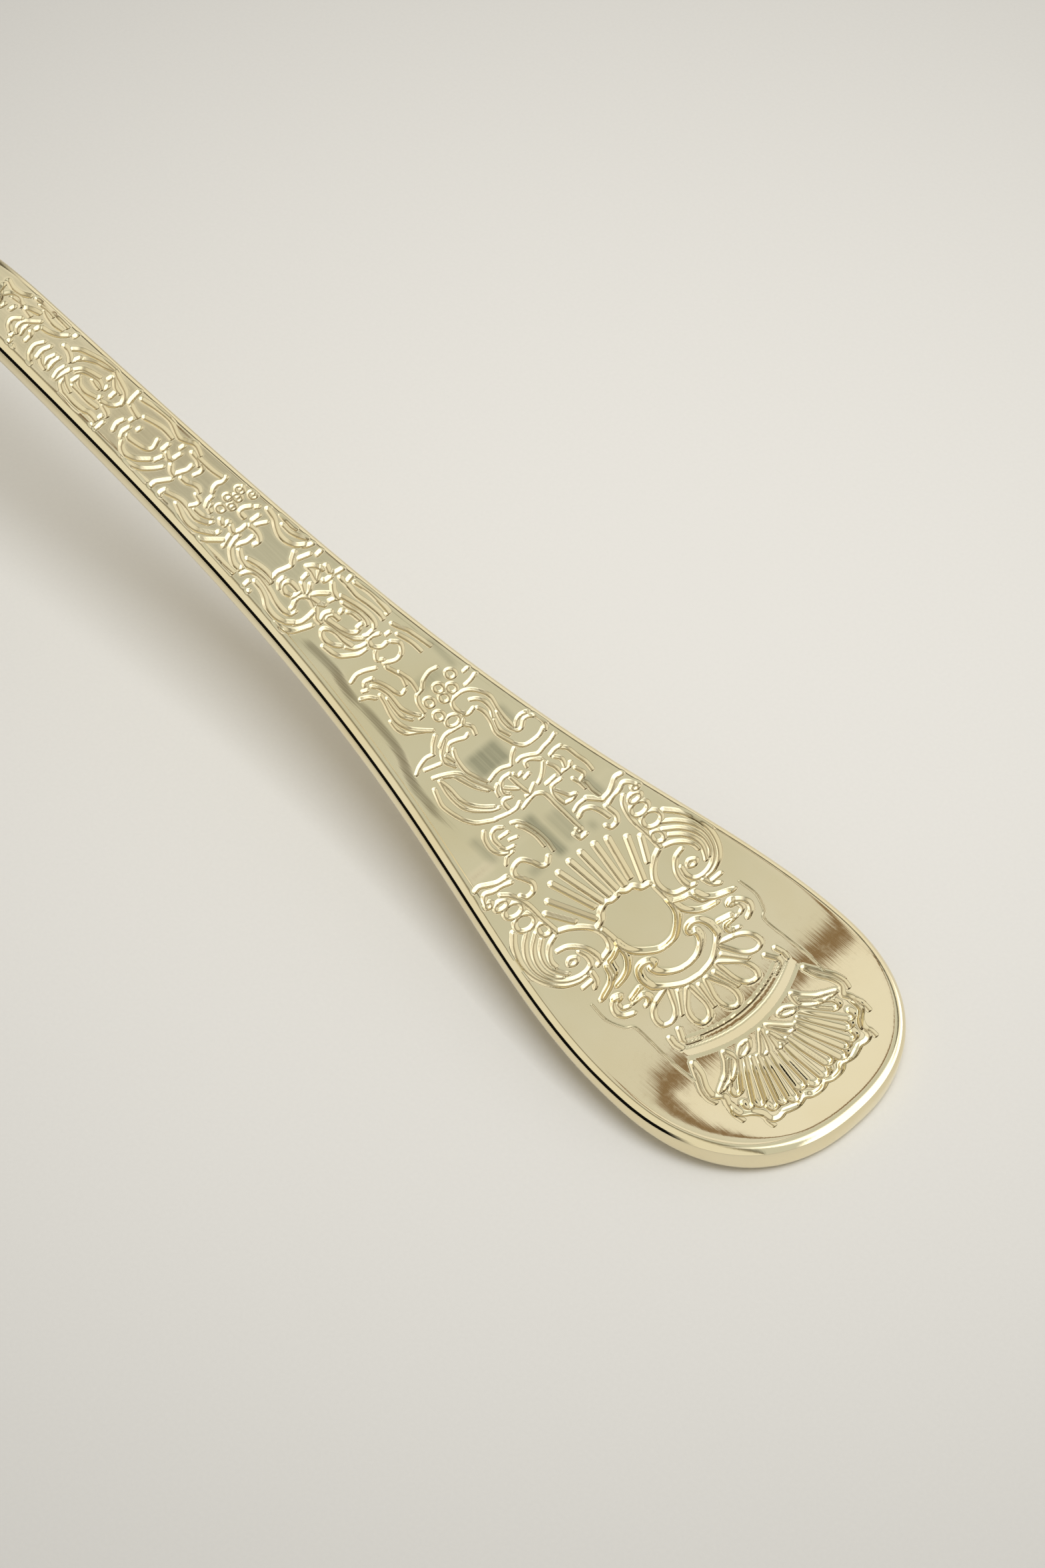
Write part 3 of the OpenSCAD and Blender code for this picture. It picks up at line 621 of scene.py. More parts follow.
# %% Sunken ground
RAMP_W, GROUND_SOFT = 1.3, 0.25
GROUND_S, GROUND_RUN = 37.0, 11.5
NEAR_GROUND = [
    (37, -6.6), (40.3, -6), (42.3, -5.8), (44.3, -5.6), (46.5, -6.2), (48.2, -6.5), (49.8, -6.3),
    (51.5, -6.1), (53, -5.6), (54.6, -4.9), (56, -4.5), (57.4, -4.3), (59, -4.1), (60.6, -4),
    (62.2, -4.1), (63.8, -3.8), (65.2, -3.4), (66.6, -3.3), (68.2, -3.3), (69.6, -3.4), (70.8, -3.9),
    (72, -4.6), (73.5, -5.3), (73.5, -8), (60, -12), (44, -14), (37, -14),
]


def blurred(values, spread):
    """A board smoothed over a spread in millimetres."""
    fs, fy = np.fft.fftfreq(values.shape[0], CELL)[:, None], np.fft.rfftfreq(values.shape[1], CELL)
    keep = np.exp(-2 * (math.pi * spread) ** 2 * (fs**2 + fy**2))
    return np.fft.irfft2(np.fft.rfft2(values) * keep, values.shape)


def sink(outline):
    """The depth of a patch of ground, 0 at its outline and 1 past the ramp."""
    line = smooth_line([(s, y + VINE_SHIFT) for s, y in outline], closed=True)
    gap, within = np.full_like(board, FAR), np.zeros(board.shape, bool)
    for a, b in zip(line, line[1:]):
        part, near, _ = around(a, b)
        gap[part] = np.minimum(gap[part], near)
        for j in np.flatnonzero((board_y > a[1]) != (board_y > b[1])):
            crossing = a[0] + (board_y[j] - a[1]) / (b[1] - a[1]) * (b[0] - a[0])
            within[board_s < crossing, j] ^= True
    return within * np.clip(gap / RAMP_W, 0, 1)


ground = blurred(sink(NEAR_GROUND), GROUND_SOFT) * ease((board_s[:, None] - GROUND_S) / GROUND_RUN)
print("sunken ground:", round(ground.sum() * CELL**2), "square mm, counted by its depth")

# %% [markdown]
# ### Painted shade
# The plain windows between the leaves mirror a darker part of the room, so an olive shade is painted on
# them, and a little of it on the open metal further along the stem. It is painted colour and no shape, so
# each window is a soft rectangle on a board of its own: where it starts and ends along and across the
# handle, and how strong the painted shade is.

# %% Painted shade on the windows
# Painted shade: olive darkening that stands in for the darker room mirrored in the windows and open metal.
PATCH_SOFT, OPEN_PAINTED_SHADE = 1.0, 0.4
OPEN_GAP, OPEN_SOFT, OPEN_S, OPEN_RUN = 0.1, 0.45, 64.0, 16.0
PATCHES = [
    (48.1, 50.6, -1.2, 2.7, 0.7), (37.5, 42.6, -1.3, -0.2, 0.75), (38, 41.5, 0.4, 2.3, 0.35),
    (39.6, 42.2, 6.1, 7.1, 0.55), (38.5, 42, 2.45, 2.9, 0.4), (50.5, 52.8, 5.45, 5.95, 0.5),
    (58.4, 59.8, 0.8, 3.9, 0.35), (58.6, 62.2, 5.1, 5.6, 0.45), (41, 44.2, -6.9, -6, 0.4),
    (37.4, 38.4, 3.1, 3.9, 0.4), (37.5, 38.5, -4.8, -3.2, 0.4), (77.8, 79.6, -0.8, 1.2, 0.35),
    (88.2, 89.6, 0.2, 1.6, 0.3),
]
open_metal = ease((board - OPEN_GAP) / OPEN_SOFT)
painted_shade = OPEN_PAINTED_SHADE * open_metal * ease((board_s[:, None] - OPEN_S) / OPEN_RUN)
for low_s, high_s, low_y, high_y, strength in PATCHES:
    along = np.minimum(board_s - low_s, high_s - board_s)
    aside = np.minimum(board_y - VINE_SHIFT - low_y, high_y + VINE_SHIFT - board_y)
    patch = ease(along / PATCH_SOFT + 0.5)[:, None] * ease(aside / PATCH_SOFT + 0.5)
    painted_shade = np.maximum(painted_shade, strength * patch)
print("tarnish:", len(PATCHES), "windows")

# %% [markdown]
# ### From distances to heights
# The boards now say how far each place is from a line and how deep it lies in the ground. A line's wall,
# the rounded ribs of the shell, the steps of the band and the flat panel of the stem all follow from those
# distances and from the handle's own outline. One function adds them up, so the mesh can ask for any
# place.

# %% Distances from the outline and values between the cells
LAST_CELL = 1.001


def edge_gap(s, y):
    """How far inside the handle's outline a place is."""
    n = END_FULLNESS
    ahead, aside = np.clip(1 - s / END_REACH, 0, 1), abs(2 * y / END_W) + TINY
    out = (ahead**n + aside**n) ** (1 / n)
    steep = out ** (1 - n) * np.hypot(ahead ** (n - 1) / END_REACH, aside ** (n - 1) * 2 / END_W)
    return np.where(s < END_REACH, (1 - out) / steep, handle_half(s) - abs(y))


def read_board(values, s, y):
    """Values between the cells of a board."""
    i = np.clip(s / CELL, 0, values.shape[0] - LAST_CELL)
    j = np.clip((y + BOARD_Y) / CELL, 0, values.shape[1] - LAST_CELL)
    i0, j0 = i.astype(int), j.astype(int)
    fi, fj = i - i0, j - j0
    return ((values[i0, j0] * (1 - fj) + values[i0, j0 + 1] * fj) * (1 - fi)
            + (values[i0 + 1, j0] * (1 - fj) + values[i0 + 1, j0 + 1] * fj) * fi)


print("the rosette's middle is", round(float(edge_gap(np.array(ROSE_S), 0)), 2), "mm inside the outline")

# %% Shell and band
RIB_ROUND, RIB_RISE = 0.48, 0.17
FAN_START, FAN_OUTER, FAN_END, FAN_SPREAD, FAN_SIDE = 2.0, 12.0, 0.4, 1.05, 0.6
BAND_SLOPE, BAND_W = 0.045, 1.2
BAND_STEPS = ((12.6, 0.06), (13.8, 0.04 + BAND_W * BAND_SLOPE), (14.6, -0.10))
BAND_WALL, BAND_REACH, BAND_FADE = 0.22, 7.0, 0.6


def rib_drop(s, y, gap):
    """How far the shell's ribs round off towards the lines between them."""
    radius = np.hypot(FAN_S - s, y)
    in_fan = ease((radius - FAN_INNER) / FAN_START) * (1 - ease((radius - FAN_OUTER) / FAN_END))
    in_fan = in_fan * (1 - ease((abs(y) - FAN_SPREAD * abs(FAN_S - s)) / FAN_SIDE))
    return RIB_RISE * in_fan * np.clip(1 - gap / RIB_ROUND, 0, 1) ** 2


def band_rise(s, y):
    """Height of the bowed band; its steps make up for its slanting top, so the face goes on as before."""
    bow = s - BOW * y * y
    height = -BAND_SLOPE * np.clip(bow - BAND_STEPS[0][0], 0, BAND_W)
    for station, rise in BAND_STEPS:
        height = height + rise * ease((bow - station) / BAND_WALL + 0.5)
    return height * (1 - ease((abs(y) - BAND_REACH) / BAND_FADE))


print("the band stands up to", round(band_rise(board_s, 0).max(), 3), "mm proud")

# %% Relief
LINE_DEPTH, LINE_WALL, LINE_CORE = 0.22, 0.46, 0.12
GROUND_DROP, PANEL_DROP = 0.31, 0.04
PANEL_S, PANEL_EDGE, PANEL_END, PANEL_RUN = 40.4, 1.6, 66.0, 12.0
RIM_W, RIM_WALL, PLAIN_PAST, PLAIN_RUN = 1.3, 0.25, 6.0, 8.0
TOP_EDGE_R = 1.2
SHOULDER_IN, SHOULDER_SLOPE, SHOULDER_SOFT, SHOULDER_RUN = 1.45, 0.05, 0.12, 4.0
NEAR_ROLL_W, NEAR_ROLL_DROP, NEAR_Y, NEAR_RUN = 2.8, 0.06, 5.0, 6.0
SATIN, SATIN_MORE, SATIN_S, SATIN_RUN = 0.3, 0.6, 78.0, 12.0


def edge_roll(s, y, inside):
    """How far the face rolls off towards its rim, more so on its near side."""
    roll = SHOULDER_SLOPE * SHOULDER_SOFT * np.logaddexp(0, (SHOULDER_IN - inside) / SHOULDER_SOFT)
    near = (1 - np.clip((inside - TOP_EDGE_R) / NEAR_ROLL_W, 0, 1)) ** 2
    roll = roll + NEAR_ROLL_DROP * near * ease((-y - NEAR_Y) / NEAR_RUN)
    return roll * ease((PANEL_S - s) / SHOULDER_RUN)


def relief(s, y):
    """Heights of the relief, and how far each place lies in a line, in satin metal and in painted shade."""
    gap, inside = read_board(board, s, y), edge_gap(s, y)
    within = ease((inside - RIM_W) / RIM_WALL) * ease((NECK_S + PLAIN_PAST - s) / PLAIN_RUN)
    stem = ease((s - PANEL_S) / PANEL_EDGE) * within
    panel = stem * (1 - ease((s - PANEL_END) / PANEL_RUN))
    hollow = read_board(ground, s, y) * within
    height = band_rise(s, y) - edge_roll(s, y, inside) - rib_drop(s, y, gap)
    height = height - GROUND_DROP * hollow - PANEL_DROP * panel
    height = height - LINE_DEPTH * np.clip(0.5 - gap / LINE_WALL, 0, 1)
    thread = np.clip(1 - read_board(core, s, y) / LINE_CORE, 0, 1)
    satin = np.maximum((SATIN + SATIN_MORE * ease((s - SATIN_S) / SATIN_RUN)) * stem, hollow)
    return height, thread, satin, read_board(painted_shade, s, y)


print("a line is", LINE_DEPTH, "mm deep, the ground", GROUND_DROP, "mm")

# %% [markdown]
# ## Handle
# The handle is a tube of rings. Each ring runs over the upper face in many small steps, so that the relief
# is real geometry, then round one edge, along the underside and up the other edge. The rings follow the
# outline's own spacing at the rounded end, where the outline turns fast, and even steps after that. At the
# neck the ring opens on both flanks, which leaves two cheeks with the slot between them.

# %% Rows and flanks of the handle
ROW_STEP, PLAIN_STEP, END_ROWS, VINE_END = 0.07, 0.2, 230, 120.0
EDGE_COLUMNS = 8
SLOT_GAP = 0.05
SLOT_HALF = BLADE_T / 2 + SLOT_GAP
END_WALL, SIDE_WALL, WALL_RUN = 0.9, 0.1, 20.0
BELLY_W, BELLY_SHARE = 3.2, 0.6


def handle_rows():
    """Stations along the handle and half widths there."""
    s, half = rounded_end(END_ROWS, END_REACH, END_W, END_FULLNESS)
    stops, steps = (END_REACH, VINE_END, SLOT_S, MOUTH_S), (ROW_STEP, PLAIN_STEP, PLAIN_STEP)
    runs = [np.linspace(start, stop, int((stop - start) / step))[1:]
            for start, stop, step in zip(stops, stops[1:], steps)]
    return np.concatenate([s, *runs]), np.concatenate([half, *[handle_half(run) for run in runs]])


def handle_flank(s, half, thick):
    """The way down a flank as insets and heights, and the inset of the underside; at the neck it opens."""
    fork = ease((s - NECK_S) / (SLOT_S - NECK_S))
    wall = END_WALL + (SIDE_WALL - END_WALL) * ease(s / WALL_RUN)
    upper = (thick / 2 - TOP_EDGE_R) * (1 - fork) + SLOT_HALF * fork
    lower = (thick / 2 - TOP_EDGE_R - wall) * (1 - fork) - SLOT_HALF * fork
    belly = np.minimum(BELLY_W * ease(s / WALL_RUN), BELLY_SHARE * half) * (1 - fork) + LOW_EDGE_R
    top_turn = np.arccos(1 - np.minimum(TOP_EDGE_R, thick / 2 - upper) / TOP_EDGE_R)
    flank = []
    for part in np.linspace(0, 1, EDGE_COLUMNS + 1)[1:]:
        a = part * top_turn
        flank.append((TOP_EDGE_R * (1 - np.sin(a)), thick / 2 - TOP_EDGE_R * (1 - np.cos(a))))
    for a in np.linspace(0, math.pi / 2, EDGE_COLUMNS + 1):
        flank.append((belly * (1 - math.cos(a)), lower - (lower + thick / 2) * math.sin(a)))
    return flank, belly


print("rows of the handle:", len(handle_rows()[0]))


# %% Rings of the handle
FACE_COLUMNS, UNDER_COLUMNS, SKIN = 360, 24, 0.002


def handle_columns():
    """The rings' points and marks, the columns of the slot's upper corners, and the slot's first row."""
    s, half = handle_rows()
    ns, ny = outward(s, half, 1)
    s, half = s - SKIN * ns, half - SKIN * ny
    thick = handle_thick(s) - 2 * SKIN
    flank, belly = handle_flank(s, half, thick)
    columns, marks = [], []
    for t in np.linspace(-1, 1, FACE_COLUMNS + 1):
        cs, cy = s - TOP_EDGE_R * ns, t * (half - TOP_EDGE_R * ny)
        height, *mark = relief(cs, cy)
        columns.append(place(cs, cy, thick / 2 + height))
        marks.append(mark)
    right_corner = len(columns) + EDGE_COLUMNS - 1
    columns += [place(s - inset * ns, half - inset * ny, off) for inset, off in flank]
    for t in np.linspace(1, -1, UNDER_COLUMNS + 1)[1:-1]:
        columns.append(place(s - belly * ns, t * (half - belly * ny), -thick / 2))
    left_corner = len(columns) + EDGE_COLUMNS
    columns += [place(s - inset * ns, inset * ny - half, off) for inset, off in flank[::-1]]
    marks = np.pad(np.moveaxis(marks, 0, 2), ((0, 0), (0, 0), (0, len(columns) - len(marks))))
    return np.stack(columns, axis=1), marks, right_corner, left_corner, int(np.argmin(abs(s - SLOT_S)))


rings, marks, right_corner, left_corner, slot_row = handle_columns()
print("rings of the handle:", rings.shape[0], "with", rings.shape[1], "points each")

# %% Faces between rings
WELD_DIGITS = 8


def tube_faces(points, openings, flip=False):
    """Faces between rings, the first of which is folded flat; openings are (first row, column) left out."""
    rows, ring = points.shape[:2]
    index = np.arange(rows * ring).reshape(rows, ring)
    after = np.roll(index, -1, axis=1)
    quads = np.stack([index[:-1], after[:-1], after[1:], index[1:]], axis=-1)
    keep = np.ones(quads.shape[:2], bool)
    keep[0] = False
    for row, column in openings:
        keep[row:, column] = False
    faces = quads[keep].tolist()
    joined = {}
    start = [joined.setdefault(tuple(np.round(p, WELD_DIGITS)), j) for j, p in enumerate(points[0])]
    for j in range(ring):
        k = (j + 1) % ring
        fold = [start[j]] if start[j] == start[k] else [start[j], start[k]]
        faces.append([*fold, ring + k, ring + j])
    return [face[::-1] for face in faces] if flip else faces


def only_used(points, faces):
    """The points that some face uses, the faces renumbered to match, and which points were kept."""
    used = np.zeros(points.size // 3, bool)
    used[np.fromiter(itertools.chain.from_iterable(faces), int)] = True
    number = (np.cumsum(used) - 1).tolist()
    return points.reshape(-1, 3)[used], [[number[v] for v in face] for face in faces], used


def mesh_object(name, vertices, faces, sharp=60):
    """A smooth-shaded object with creases where faces meet at a steep angle."""
    mesh = bpy.data.meshes.new(name)
    mesh.from_pydata(vertices.tolist(), [], faces)
    mesh.shade_smooth()
    mesh.set_sharp_from_angle(angle=math.radians(sharp))
    obj = bpy.data.objects.new(name, mesh)
    bpy.context.collection.objects.link(obj)
    return obj


handle_faces = tube_faces(rings, [(slot_row, right_corner), (slot_row, left_corner)])
print("faces between the rings:", len(handle_faces))


# %% Handle with its slot
def build_handle(faces):
    """The handle: its tube, the walls of the slot, the ends of both cheeks, and the marks for its finish and
    its painted shade.
    """
    rows, ring = rings.shape[:2]
    index = np.arange(rows * ring).reshape(rows, ring)
    top_right, low_right, low_left, top_left = right_corner, right_corner + 1, left_corner, left_corner + 1
    faces.append(index[slot_row, [top_right, low_right, low_left, top_left]].tolist())
    for this, after in zip(index[slot_row:-1].tolist(), index[slot_row + 1:].tolist()):
        faces.append([this[top_right], this[top_left], after[top_left], after[top_right]])
        faces.append([this[low_left], this[low_right], after[low_right], after[low_left]])
    faces.append(index[-1, top_left:].tolist() + index[-1, :top_right + 1].tolist())
    faces.append(index[-1, low_right:low_left + 1].tolist())
    vertices, faces, used = only_used(rings, faces)
    obj = mesh_object("gilt_handle", vertices, faces)
    # The third mark says where shade is painted.
    for name, values in zip(("line", "satin", "painted_shade"), marks):
        obj.data.attributes.new(name, "FLOAT", "POINT").data.foreach_set("value", values.reshape(-1)[used])
    return obj


handle = build_handle(handle_faces)
print("handle:", len(handle.data.polygons), "faces")

# %% [markdown]
# ## Blade
# A blade like this is cut from sheet, ground with a wide bevel on its upper side and bent at the heel; its
# narrow end is the tang that goes into the handle's slot. A plane with a Solidify modifier would give the
# sheet, but no ground edge. So the same ring method makes it: the ring's corners are the bevel and the
# softened lower edge.

# %% Blade mesh
BLADE_W, TIP_REACH, TIP_FULLNESS, SHOULDER_FULLNESS = 56.0, 74.0, 1.76, 1.4
SLOT_END_GAP, TANG_INSET = 0.2, 0.35
BEVEL_W, EDGE_T, EDGE_SOFT = 2.2, 0.7, 0.2
BEVEL_IN, BEVEL_SHARE, BEVEL_DROP, HONE_W, HONE_T = 0.05, 0.96, 0.02, 0.06, 0.03
TIP_ROWS, SHOULDER_ROWS, TANG_ROWS, BLADE_COLUMNS, BLADE_CREASE = 150, 220, 12, 28, 30
TANG_S, WIDE_S = SLOT_S + SLOT_END_GAP, TIP_S - TIP_REACH


def blade_half(s):
    """Half the width of the tang and of the blade's shoulders."""
    root = handle_half(MOUTH_S) - TANG_INSET
    spread = np.sin(math.pi / 2 * ease((s - MOUTH_S) / (WIDE_S - MOUTH_S))) ** SHOULDER_FULLNESS
    return np.where(s < MOUTH_S, handle_half(s) - TANG_INSET, root + (BLADE_W / 2 - root) * spread)


def build_blade():
    """The blade from its tip to the tang's end."""
    reach, tip_half = rounded_end(TIP_ROWS, TIP_REACH, BLADE_W, TIP_FULLNESS)
    shoulders, tang = np.linspace(WIDE_S, MOUTH_S, SHOULDER_ROWS), np.linspace(MOUTH_S, TANG_S, TANG_ROWS)
    rest = np.concatenate([shoulders[1:], tang[1:]])
    s, half = np.concatenate([TIP_S - reach, rest]), np.concatenate([tip_half, blade_half(rest)])
    ns, ny = outward(s, half, -1)
    bevel = BEVEL_W * ease((s - MOUTH_S) / (WIDE_S - MOUTH_S))
    flank = [(bevel * BEVEL_SHARE, BLADE_T - BEVEL_DROP), (HONE_W, EDGE_T + HONE_T), (SKIN, EDGE_T),
             (SKIN, EDGE_SOFT), (EDGE_SOFT, 0)]

    def column(inset, t, height):
        return place(s - inset * ns, t * (half - inset * ny), height - BLADE_T / 2)

    columns = [column(bevel + BEVEL_IN, t, BLADE_T) for t in np.linspace(-1, 1, BLADE_COLUMNS + 1)]
    columns += [column(inset, 1, height) for inset, height in flank]
    columns += [column(EDGE_SOFT, t, 0) for t in np.linspace(1, -1, BLADE_COLUMNS + 1)[1:-1]]
    columns += [column(inset, -1, height) for inset, height in flank[::-1]]
    points = np.stack(columns, axis=1)
    faces = tube_faces(points, [], flip=True)
    last = np.arange(points.shape[1]) + (len(points) - 1) * points.shape[1]
    faces.append(last.tolist()[::-1])
    vertices, faces, _ = only_used(points, faces)
    return mesh_object("gilt_blade", vertices, faces, BLADE_CREASE)


blade = build_blade()
print("blade:", len(blade.data.polygons), "faces")

# %% [markdown]
# ## Tang pins
# Two pins go through the cheeks and the tang and are filed flush; each crown stands a hair proud, as filed
# pins do. A cylinder with a bevel would be close, but a turned profile gives the crown its own low dome.

# %% Pins
PIN_D, PIN_PITCH, PIN_SIDES, PIN_CREASE = 2.2, 5.5, 48, 50
CROWN = 0.05
CROWN_PROFILE = ((0, 1), (0.35, 0.95), (0.7, 0.75), (0.92, 0.3), (1, -1))
PIN_STATIONS = {"front_tang_pin": MOUTH_S - SLOT_DEPTH / 2 + PIN_PITCH / 2,
                "rear_tang_pin": MOUTH_S - SLOT_DEPTH / 2 - PIN_PITCH / 2}


def build_pin(name, station):
    """A pin from crown to crown; the profile gives shares of its radius and of its crown."""
    height = float(handle_thick(np.array(station))) / 2
    profile = [(r * PIN_D / 2, height + h * CROWN) for r, h in CROWN_PROFILE]
    profile += [(r, -h) for r, h in profile[::-1]]
    angles = np.linspace(0, 2 * math.pi, PIN_SIDES + 1)[:-1]
    points = np.concatenate([place(station + r * np.cos(angles), r * np.sin(angles), h) for r, h in profile])
    last, faces = len(profile) - 2, []
    for k, j in itertools.product(range(last + 1), range(PIN_SIDES)):
        a, b = k * PIN_SIDES + j, k * PIN_SIDES + (j + 1) % PIN_SIDES
        if k == 0:
            faces.append([0, b + PIN_SIDES, a + PIN_SIDES])
        elif k == last:
            faces.append([a, b, (k + 1) * PIN_SIDES])
        else:
            faces.append([a, b, b + PIN_SIDES, a + PIN_SIDES])
    vertices, faces, _ = only_used(points, faces)
    return mesh_object("gilt_" + name, vertices, faces, PIN_CREASE)


pins = {name: build_pin(name, station) for name, station in PIN_STATIONS.items()}
print("pins at", {name: round(s, 2) for name, s in PIN_STATIONS.items()}, "mm along the curve")

# %% [markdown]
# ## Filler metal
# A little filler is drawn into the corner where the blade leaves the slot, above and below. It could be a
# bevelled curve, but a small hollow fillet with a ripple along it looks more like metal that has flowed.

# %% Braze
BRAZE_LEG, BRAZE_BLUNT, BRAZE_THIN, BRAZE_HOLLOW = 0.6, 6, 0.02, 1.5
BRAZE_ROWS, BRAZE_STEPS, BRAZE_CREASE = 61, 7, 40
RIPPLE, RIPPLE_RATE, SWELL, SWELL_RATE = 0.05, 9, 0.04, 3.7


def build_braze():
    """Two fillets across the slot's mouth, thinner towards their ends."""
    width = MOUTH_W / 2 - TOP_EDGE_R
    y = np.linspace(-width, width, BRAZE_ROWS)
    ripple = 1 - RIPPLE * np.cos(RIPPLE_RATE * y) - SWELL * np.sin(SWELL_RATE * y)
    reach = BRAZE_LEG * np.sqrt(np.clip(1 - (y / width) ** BRAZE_BLUNT, BRAZE_THIN, 1)) * ripple
    bends = np.linspace(0, math.pi / 2, BRAZE_STEPS)
    section = [(reach * math.cos(b) ** BRAZE_HOLLOW, reach * math.sin(b) ** BRAZE_HOLLOW) for b in bends]
    section.append((0 * reach, 0 * reach))
    n, last = len(section), (BRAZE_ROWS - 1) * len(section)
    vertices, faces = [], []
    for side in (1, -1):
        start = len(vertices)
        points = np.stack([place(MOUTH_S + u, y, side * (BLADE_T / 2 + h)) for u, h in section], axis=1)
        vertices += points.reshape(-1, 3).tolist()
        for row, j in itertools.product(range(start, start + last, n), range(n)):
            a, b = row + j, row + (j + 1) % n
            faces.append([a, b, b + n, a + n][::-side])
        faces.append([start + j for j in range(n)][::side])
        faces.append([start + last + j for j in range(n)][::-side])
    return mesh_object("braze_filler", np.array(vertices), faces, BRAZE_CREASE)


braze = build_braze()
print("braze:", len(braze.data.polygons), "faces")

# %% [markdown]
# ## Gold
# The whole server is gilt and polished: a pale champagne gold, bright enough that it takes most of its
# look from what it mirrors. What makes it read as real metal is small: faint polishing lines, a slow
# change of tint, and a little dullness in the sunken lines that the buff cannot reach. The nodes could be
# wired by hand; the small class below lets node arithmetic be written as ordinary sums instead.

# %% Shader arithmetic
class Wire:
    """One value in a shader tree. Sums and products of wires add Math, Vector Math or Mix nodes."""

    def __init__(self, tree, socket=None):
        self.tree, self.socket = tree, socket

    def make(self, kind, settings=None, inputs=None, output=0):
        """Any node, from its type, its settings, its input values or wires, and the output to go on with."""
        node = self.tree.nodes.new(kind)
        for name, value in (settings or {}).items():
            setattr(node, name, value)
        for name, value in (inputs or {}).items():
            if isinstance(value, Wire):
                self.tree.links.new(value.socket, node.inputs[name])
            else:
                node.inputs[name].default_value = value
        return Wire(self.tree, node.outputs[output] if node.outputs else None)

    def math(self, operation, *values, flipped=False):
        """A Math node, or a Vector Math node for a vector; flipped puts this wire last."""
        kind = "ShaderNodeMath"
        if self.socket.type == "VECTOR":
            kind = "ShaderNodeVectorMath"
            values = [v if isinstance(v, (Wire, tuple)) else (v, v, v) for v in values]
        order = (*values, self) if flipped else (self, *values)
        return self.make(kind, {"operation": operation}, dict(enumerate(order)))

    def __add__(self, other):
        return self.math("ADD", other)

    def __sub__(self, other):
        return self.math("SUBTRACT", other)

    def __mul__(self, other):
        return self.math("MULTIPLY", other)

    def __truediv__(self, other):
        return self.math("DIVIDE", other)

    def __pow__(self, other):
        return self.math("POWER", other)

    def __rsub__(self, other):
        return self.math("SUBTRACT", other, flipped=True)

    def __rtruediv__(self, other):
        return self.math("DIVIDE", other, flipped=True)

    def __rpow__(self, other):
        return self.math("POWER", other, flipped=True)

    __radd__, __rmul__ = __add__, __mul__

    def between(self, low, high):
        """0 below low, 1 above high, eased in between."""
        return self.make("ShaderNodeMapRange", {"interpolation_type": "SMOOTHSTEP"},
                         {"Value": self, "From Min": low, "From Max": high})

    def blend(self, colour_a, colour_b):
        """A colour between two, by this factor."""
        inputs = {"Factor": self, 6: colour_a, 7: colour_b}
        return self.make("ShaderNodeMix", {"data_type": "RGBA"}, inputs, 2)

    def noise(self, scale, detail):
        """Noise at this place."""
        return self.make("ShaderNodeTexNoise", None, {"Vector": self, "Scale": scale, "Detail": detail})

    def show(self, inputs):
        """A Principled shader with these inputs, on the surface."""
        shader = self.make("ShaderNodeBsdfPrincipled", None, inputs)
        self.make("ShaderNodeOutputMaterial", None, {"Surface": shader})


print("what a wire can do:", [name for name in vars(Wire) if not name.startswith("__")])

# %% Gilt finish
GOLD, DEEP_GOLD = (0.86, 0.77, 0.535, 1), (0.80, 0.675, 0.40, 1)
PATINA, OLIVE = (0.40, 0.29, 0.14, 1), (0.36, 0.345, 0.235, 1)
TINT_PER_MM, WAVE_PER_MM, DULL_PER_MM = 0.11, 0.35, 1.6
TINT_FROM, TINT_TO, TINT_SHARE, PATINA_SHARE = 0.35, 0.7, 0.35, 0.75
# How strong the painted shade is, and how much the polishing streaks vary it.
PAINTED_SHADE_SHARE, PAINTED_SHADE_STREAKS = 0.6, 0.8
DULL_FROM, DULL_TO, DULL_MORE, LINE_DULL, SATIN_DULL = 0.45, 0.75, 0.02, 0.05, 0.12
WAVE_DEPTH, WAVE_STRENGTH, BUFF_STRENGTH, SATIN_BUFF = 1.0, 0.003, 0.5, 2


def new_material(name):
    """A material with an empty tree, and a wire with the place on the piece."""
    material = bpy.data.materials.new(name)
    material.use_nodes = True
    material.node_tree.nodes.clear()
    return material, Wire(material.node_tree).make("ShaderNodeTexCoord", output="Object")


def gilt(name, lines, dullness, line_depth):
    """Polished gilt metal; lines says how close the polishing lines lie along each axis, per millimetre."""
    material, place_on = new_material(name)
    at = place_on * (1 / MM)
    slow, wave, dull = at.noise(TINT_PER_MM, 3.0), at.noise(WAVE_PER_MM, 1.0), at.noise(DULL_PER_MM, 3.0)
    buffed = (at * lines).noise(1.0, 1.0)
    line, satin, painted_shade = [at.make("ShaderNodeAttribute", {"attribute_name": mark}, None, "Fac")
                            for mark in ("line", "satin", "painted_shade")]
    gold = (slow.between(TINT_FROM, TINT_TO) * TINT_SHARE).blend(GOLD, DEEP_GOLD)
    # Painted shade: olive patches stand in for the darker room mirrored in the plain windows and open metal.
    gold = (painted_shade * (PAINTED_SHADE_SHARE + buffed * PAINTED_SHADE_STREAKS)).blend(gold, OLIVE)
    rough = dullness + dull.between(DULL_FROM, DULL_TO) * DULL_MORE + line * LINE_DULL + satin * SATIN_DULL
    soft = at.make("ShaderNodeBump", None, {
        "Height": wave, "Distance": WAVE_DEPTH * MM, "Strength": WAVE_STRENGTH})
    bump = at.make("ShaderNodeBump", None, {
        "Height": buffed * (1 + satin * SATIN_BUFF), "Distance": line_depth * MM,
        "Strength": BUFF_STRENGTH, "Normal": soft})
    at.show({"Base Color": (line * PATINA_SHARE).blend(gold, PATINA), "Metallic": 1.0,
             "Roughness": rough, "Normal": bump})
    return material


